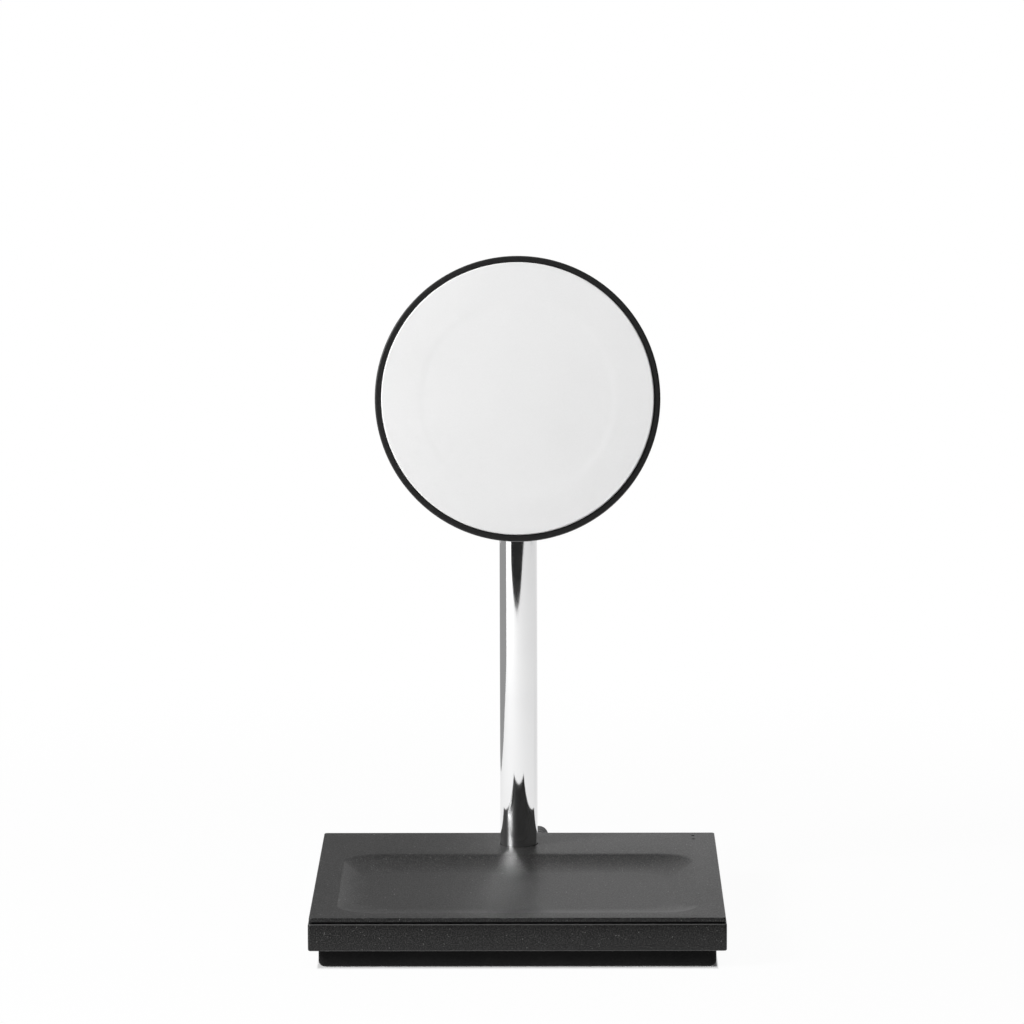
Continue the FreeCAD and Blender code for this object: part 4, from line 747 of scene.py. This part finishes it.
white_pad = Finish("white_pad", {"Specular IOR Level": 0.35})
satin = grain(white_pad, satin_size, 2.0)
pad_tone = 0.5 * satin + 0.5 * grain(white_pad, pad_cloud_size, 3.0)
white_pad.feed("Base Color", shades(white_pad, pad_tone, 0.3, 0.7, pad_white, pad_bright))
white_pad.feed("Roughness", 0.42 + 0.12 * satin)
centred = white_pad.node("ShaderNodeVectorMath", {"operation": "SUBTRACT"}, (white_pad.place, hinge))
outwards = white_pad.node(
    "ShaderNodeVectorMath", {"operation": "CROSS_PRODUCT"}, (centred, facing.normalized())
)
off_centre = white_pad.node("ShaderNodeVectorMath", {"operation": "LENGTH"}, (outwards,), "Value")
sunk_from = sunk_radius - sunk_edge / 2
sunk_to = sunk_radius + sunk_edge / 2
raised = ramp(white_pad, off_centre, sunk_from, sunk_to, shape="SMOOTHERSTEP")
relief(white_pad, raised + 0.1 * satin, sunk_depth)
disc = [(0, pad_seat), (pad_radius, pad_seat), (pad_radius, pad_front), (0, pad_front)]
bm = turned(disc, head_facets, head_placed, [(pad_radius, pad_front, pad_round, 6)])
piece("satin_pad", bm, "head", white_pad, "charging_pad")

# The table is a large sheet of white paper. The camera sees it white all over, apart from
# the charger's faint wide shadow and the dark one close round its foot.
table_reach = 3.0
table_white = (0.86, 0.86, 0.86, 1)
shadow_share = 0.04
shadow_reach = (0.10, 0.30)
contact_share = 0.95
contact_reach = 2.2 * mm
side_narrowing = 5
gloss_share = 0.60
pure_white = (1, 1, 1, 1)
matte = {"Roughness": 0.9, "Specular IOR Level": 0.0}
square = ((-1, -1), (1, -1), (1, 1), (-1, 1))


def stage_sheet(name, corners, finish):
    """A flat sheet of the studio through its corners."""
    bm = bmesh.new()
    bm.faces.new([bm.verts.new(corner) for corner in corners])
    mesh = bpy.data.meshes.new(name)
    bm.to_mesh(mesh)
    bm.free()
    mesh.materials.append(finish.material)
    sheet = bpy.data.objects.new(name, mesh)
    bpy.context.scene.collection.objects.link(sheet)
    return sheet


def rays(nodes):
    """Whether a ray comes from the camera, from gloss or through something clear."""
    kinds = ("Is Camera Ray", "Is Glossy Ray", "Is Transmission Ray")
    return [nodes.node("ShaderNodeLightPath", output=kind) for kind in kinds]


paper = Finish("table", {"Base Color": table_white, **matte})
stage_sheet("table", [(x * table_reach, y * table_reach, 0) for x, y in square], paper)
away = paper.node("ShaderNodeVectorMath", {"operation": "LENGTH"}, (paper.place,), "Value")
wide_shadow = ramp(paper, away, *shadow_reach, shadow_share, 0.0, "SMOOTHSTEP")
off_middle = paper.node("ShaderNodeVectorMath", {"operation": "ABSOLUTE"}, (paper.place,))
past_foot = paper.node("ShaderNodeVectorMath", {"operation": "SUBTRACT"}, (off_middle, foot_high))
past_side, past_front = (coordinate(paper, past_foot, axis) for axis in "XY")
past = past_front.larger(side_narrowing * past_side)
shadow = wide_shadow.larger(ramp(paper, past, 0.0, contact_reach, contact_share, 0.0))
from_camera, from_gloss, through_clear = rays(paper)
white_share = (1 - shadow) * from_camera + gloss_share * (from_gloss + through_clear)
lit = Socket(paper, paper.shader.outputs[0])
glow = paper.node("ShaderNodeEmission", None, {"Color": pure_white, "Strength": 1.0})
shown = paper.node("ShaderNodeMixShader", None, (white_share, lit, glow))
paper.tree.links.new(shown.socket, paper.tree.nodes["Material Output"].inputs["Surface"])

# The studio shows only in the charger's own gloss. Low walls stand behind it, grey on the
# left and pale on the right, with a dim wall above them, and the room is dark elsewhere.
wall_height = 1.3
left_height = 0.055
pale_foot_height = 0.045
back_height = 0.09
left_wall = [(-0.285, -0.016), (-0.216, 0.055), (-0.131, 0.112), (-0.08, 0.14)]
back_wall = [(-0.08, 0.14), (-0.008, 0.20)]
pale_wall = [(-0.008, 0.20), (0.5, 0.45)]
upper_wall = [(-0.5, 0.10), (-0.008, 0.20), (0.5, 0.45)]
dark_left = [(-0.5, 0.10), (-0.95, 0.05), (-0.95, -0.60), (-0.62, -0.60)]
dark_right = [(0.5, -0.35), (0.5, 0.45)]
room_front = 0.372
room_sides = (-0.26, 0.27)
room_turn = math.radians(10)
left_grey = (0.305, 0.305, 0.305, 1)
back_grey = (0.30, 0.30, 0.30, 1)
pale_foot_grey = (0.80, 0.80, 0.80, 1)
upper_grey = (0.30, 0.30, 0.30, 1)
room_grey = (0.02, 0.02, 0.02, 1)
no_colour = (0, 0, 0, 1)


def studio_card(name, corners, glow):
    """A sheet that glows by itself and that only gloss can see."""
    constants = {"Base Color": no_colour, "Emission Color": glow, "Emission Strength": 1.0}
    card = stage_sheet(name, corners, Finish(name, {**constants, **matte}))
    card.visible_camera = False
    card.visible_diffuse = False
    card.visible_shadow = False


room_turned = Matrix.Rotation(-room_turn, 3, "Z")
dark_front = [(pole_axis + room_turned @ Vector((x, -room_front, 0))).xy for x in room_sides]
dark_room = dark_left + dark_front + dark_right
for name, line, low, high, grey in (
    ("left_wall", left_wall, 0, left_height, left_grey),
    ("back_wall", back_wall, 0, back_height, back_grey),
    ("pale_wall_foot", pale_wall, 0, pale_foot_height, pale_foot_grey),
    ("pale_wall", pale_wall, pale_foot_height, back_height, pure_white),
    ("upper_wall", upper_wall, back_height, wall_height, upper_grey),
    ("dark_room", dark_room, 0, wall_height, room_grey),
):
    for (x0, y0), (x1, y1) in zip(line, line[1:]):
        studio_card(name, [(x0, y0, low), (x1, y1, low), (x1, y1, high), (x0, y0, high)], grey)
ceiling = [(x * table_reach, y * table_reach, wall_height) for x, y in square]
studio_card("ceiling", ceiling, room_grey)

# The key light is a soft box, high in front on the left, and a broad soft light hangs
# overhead. The room's own light is white and even.
key_turn = math.radians(55)
key_distance = 0.66
key_height = 0.43
key_aim = pole_axis + Vector((0, 0, 0.06))
key_size = (0.24, 0.26)
key_power = 5.8
overhead_place = Vector((0, -0.15, 0.9))
overhead_aim = Vector((0, 0, 0))
overhead_size = (0.4, 0.4)
overhead_power = 1.6
room_light = 0.10


def soft_box(name, place, aim, size, power):
    """A rectangular area light that faces a point."""
    lamp = bpy.data.lights.new(name, "AREA")
    lamp.shape = "RECTANGLE"
    lamp.size, lamp.size_y = size
    lamp.energy = power
    box = bpy.data.objects.new(name, lamp)
    box.location = place
    box.rotation_euler = (aim - place).to_track_quat("-Z", "Y").to_euler()
    bpy.context.scene.collection.objects.link(box)


towards_key = Vector((-math.sin(key_turn), -math.cos(key_turn), 0))
key_place = pole_axis + key_distance * towards_key + Vector((0, 0, key_height))
soft_box("key", key_place, key_aim, key_size, key_power)
soft_box("overhead", overhead_place, overhead_aim, overhead_size, overhead_power)
world = bpy.data.worlds.new("white_room")
bpy.context.scene.world = world
world.use_nodes = True
air = Nodes(world.node_tree)
from_camera, from_gloss, through_clear = rays(air)
even_light = air.node("ShaderNodeBackground", None, {"Color": pure_white, "Strength": room_light})
white_wall = air.node("ShaderNodeBackground", None, {"Color": pure_white, "Strength": 1.0})
shows_white = from_camera + from_gloss + through_clear
seen = air.node("ShaderNodeMixShader", None, (shows_white, even_light, white_wall))
air.tree.links.new(seen.socket, air.tree.nodes["World Output"].inputs["Surface"])

# The camera stands well back with a long lens and looks slightly down at the charger from
# in front. It leans very slightly to one side.
camera_place = Vector((6.60, -1186.67, 267.29)) * mm
camera_yaw = math.radians(0.373)
camera_pitch = math.radians(8.621)
camera_roll = math.radians(-0.15)
lens_length = 203.06
film_width = 36
farthest = 20

ahead = Vector(
    (
        -math.sin(camera_yaw) * math.cos(camera_pitch),
        math.cos(camera_yaw) * math.cos(camera_pitch),
        -math.sin(camera_pitch),
    )
)
level_right = Vector((math.cos(camera_yaw), math.sin(camera_yaw), 0))
right = Matrix.Rotation(-camera_roll, 3, ahead) @ level_right
above = right.cross(ahead)
lens = bpy.data.cameras.new("camera")
lens.lens = lens_length
lens.sensor_width = film_width
lens.clip_end = farthest
camera = bpy.data.objects.new("camera", lens)
camera_turned = Matrix((right, above, -ahead)).transposed().to_4x4()
camera.matrix_world = Matrix.Translation(camera_place) @ camera_turned
bpy.context.scene.collection.objects.link(camera)
bpy.context.scene.camera = camera
bpy.context.scene.view_settings.view_transform = "Standard"
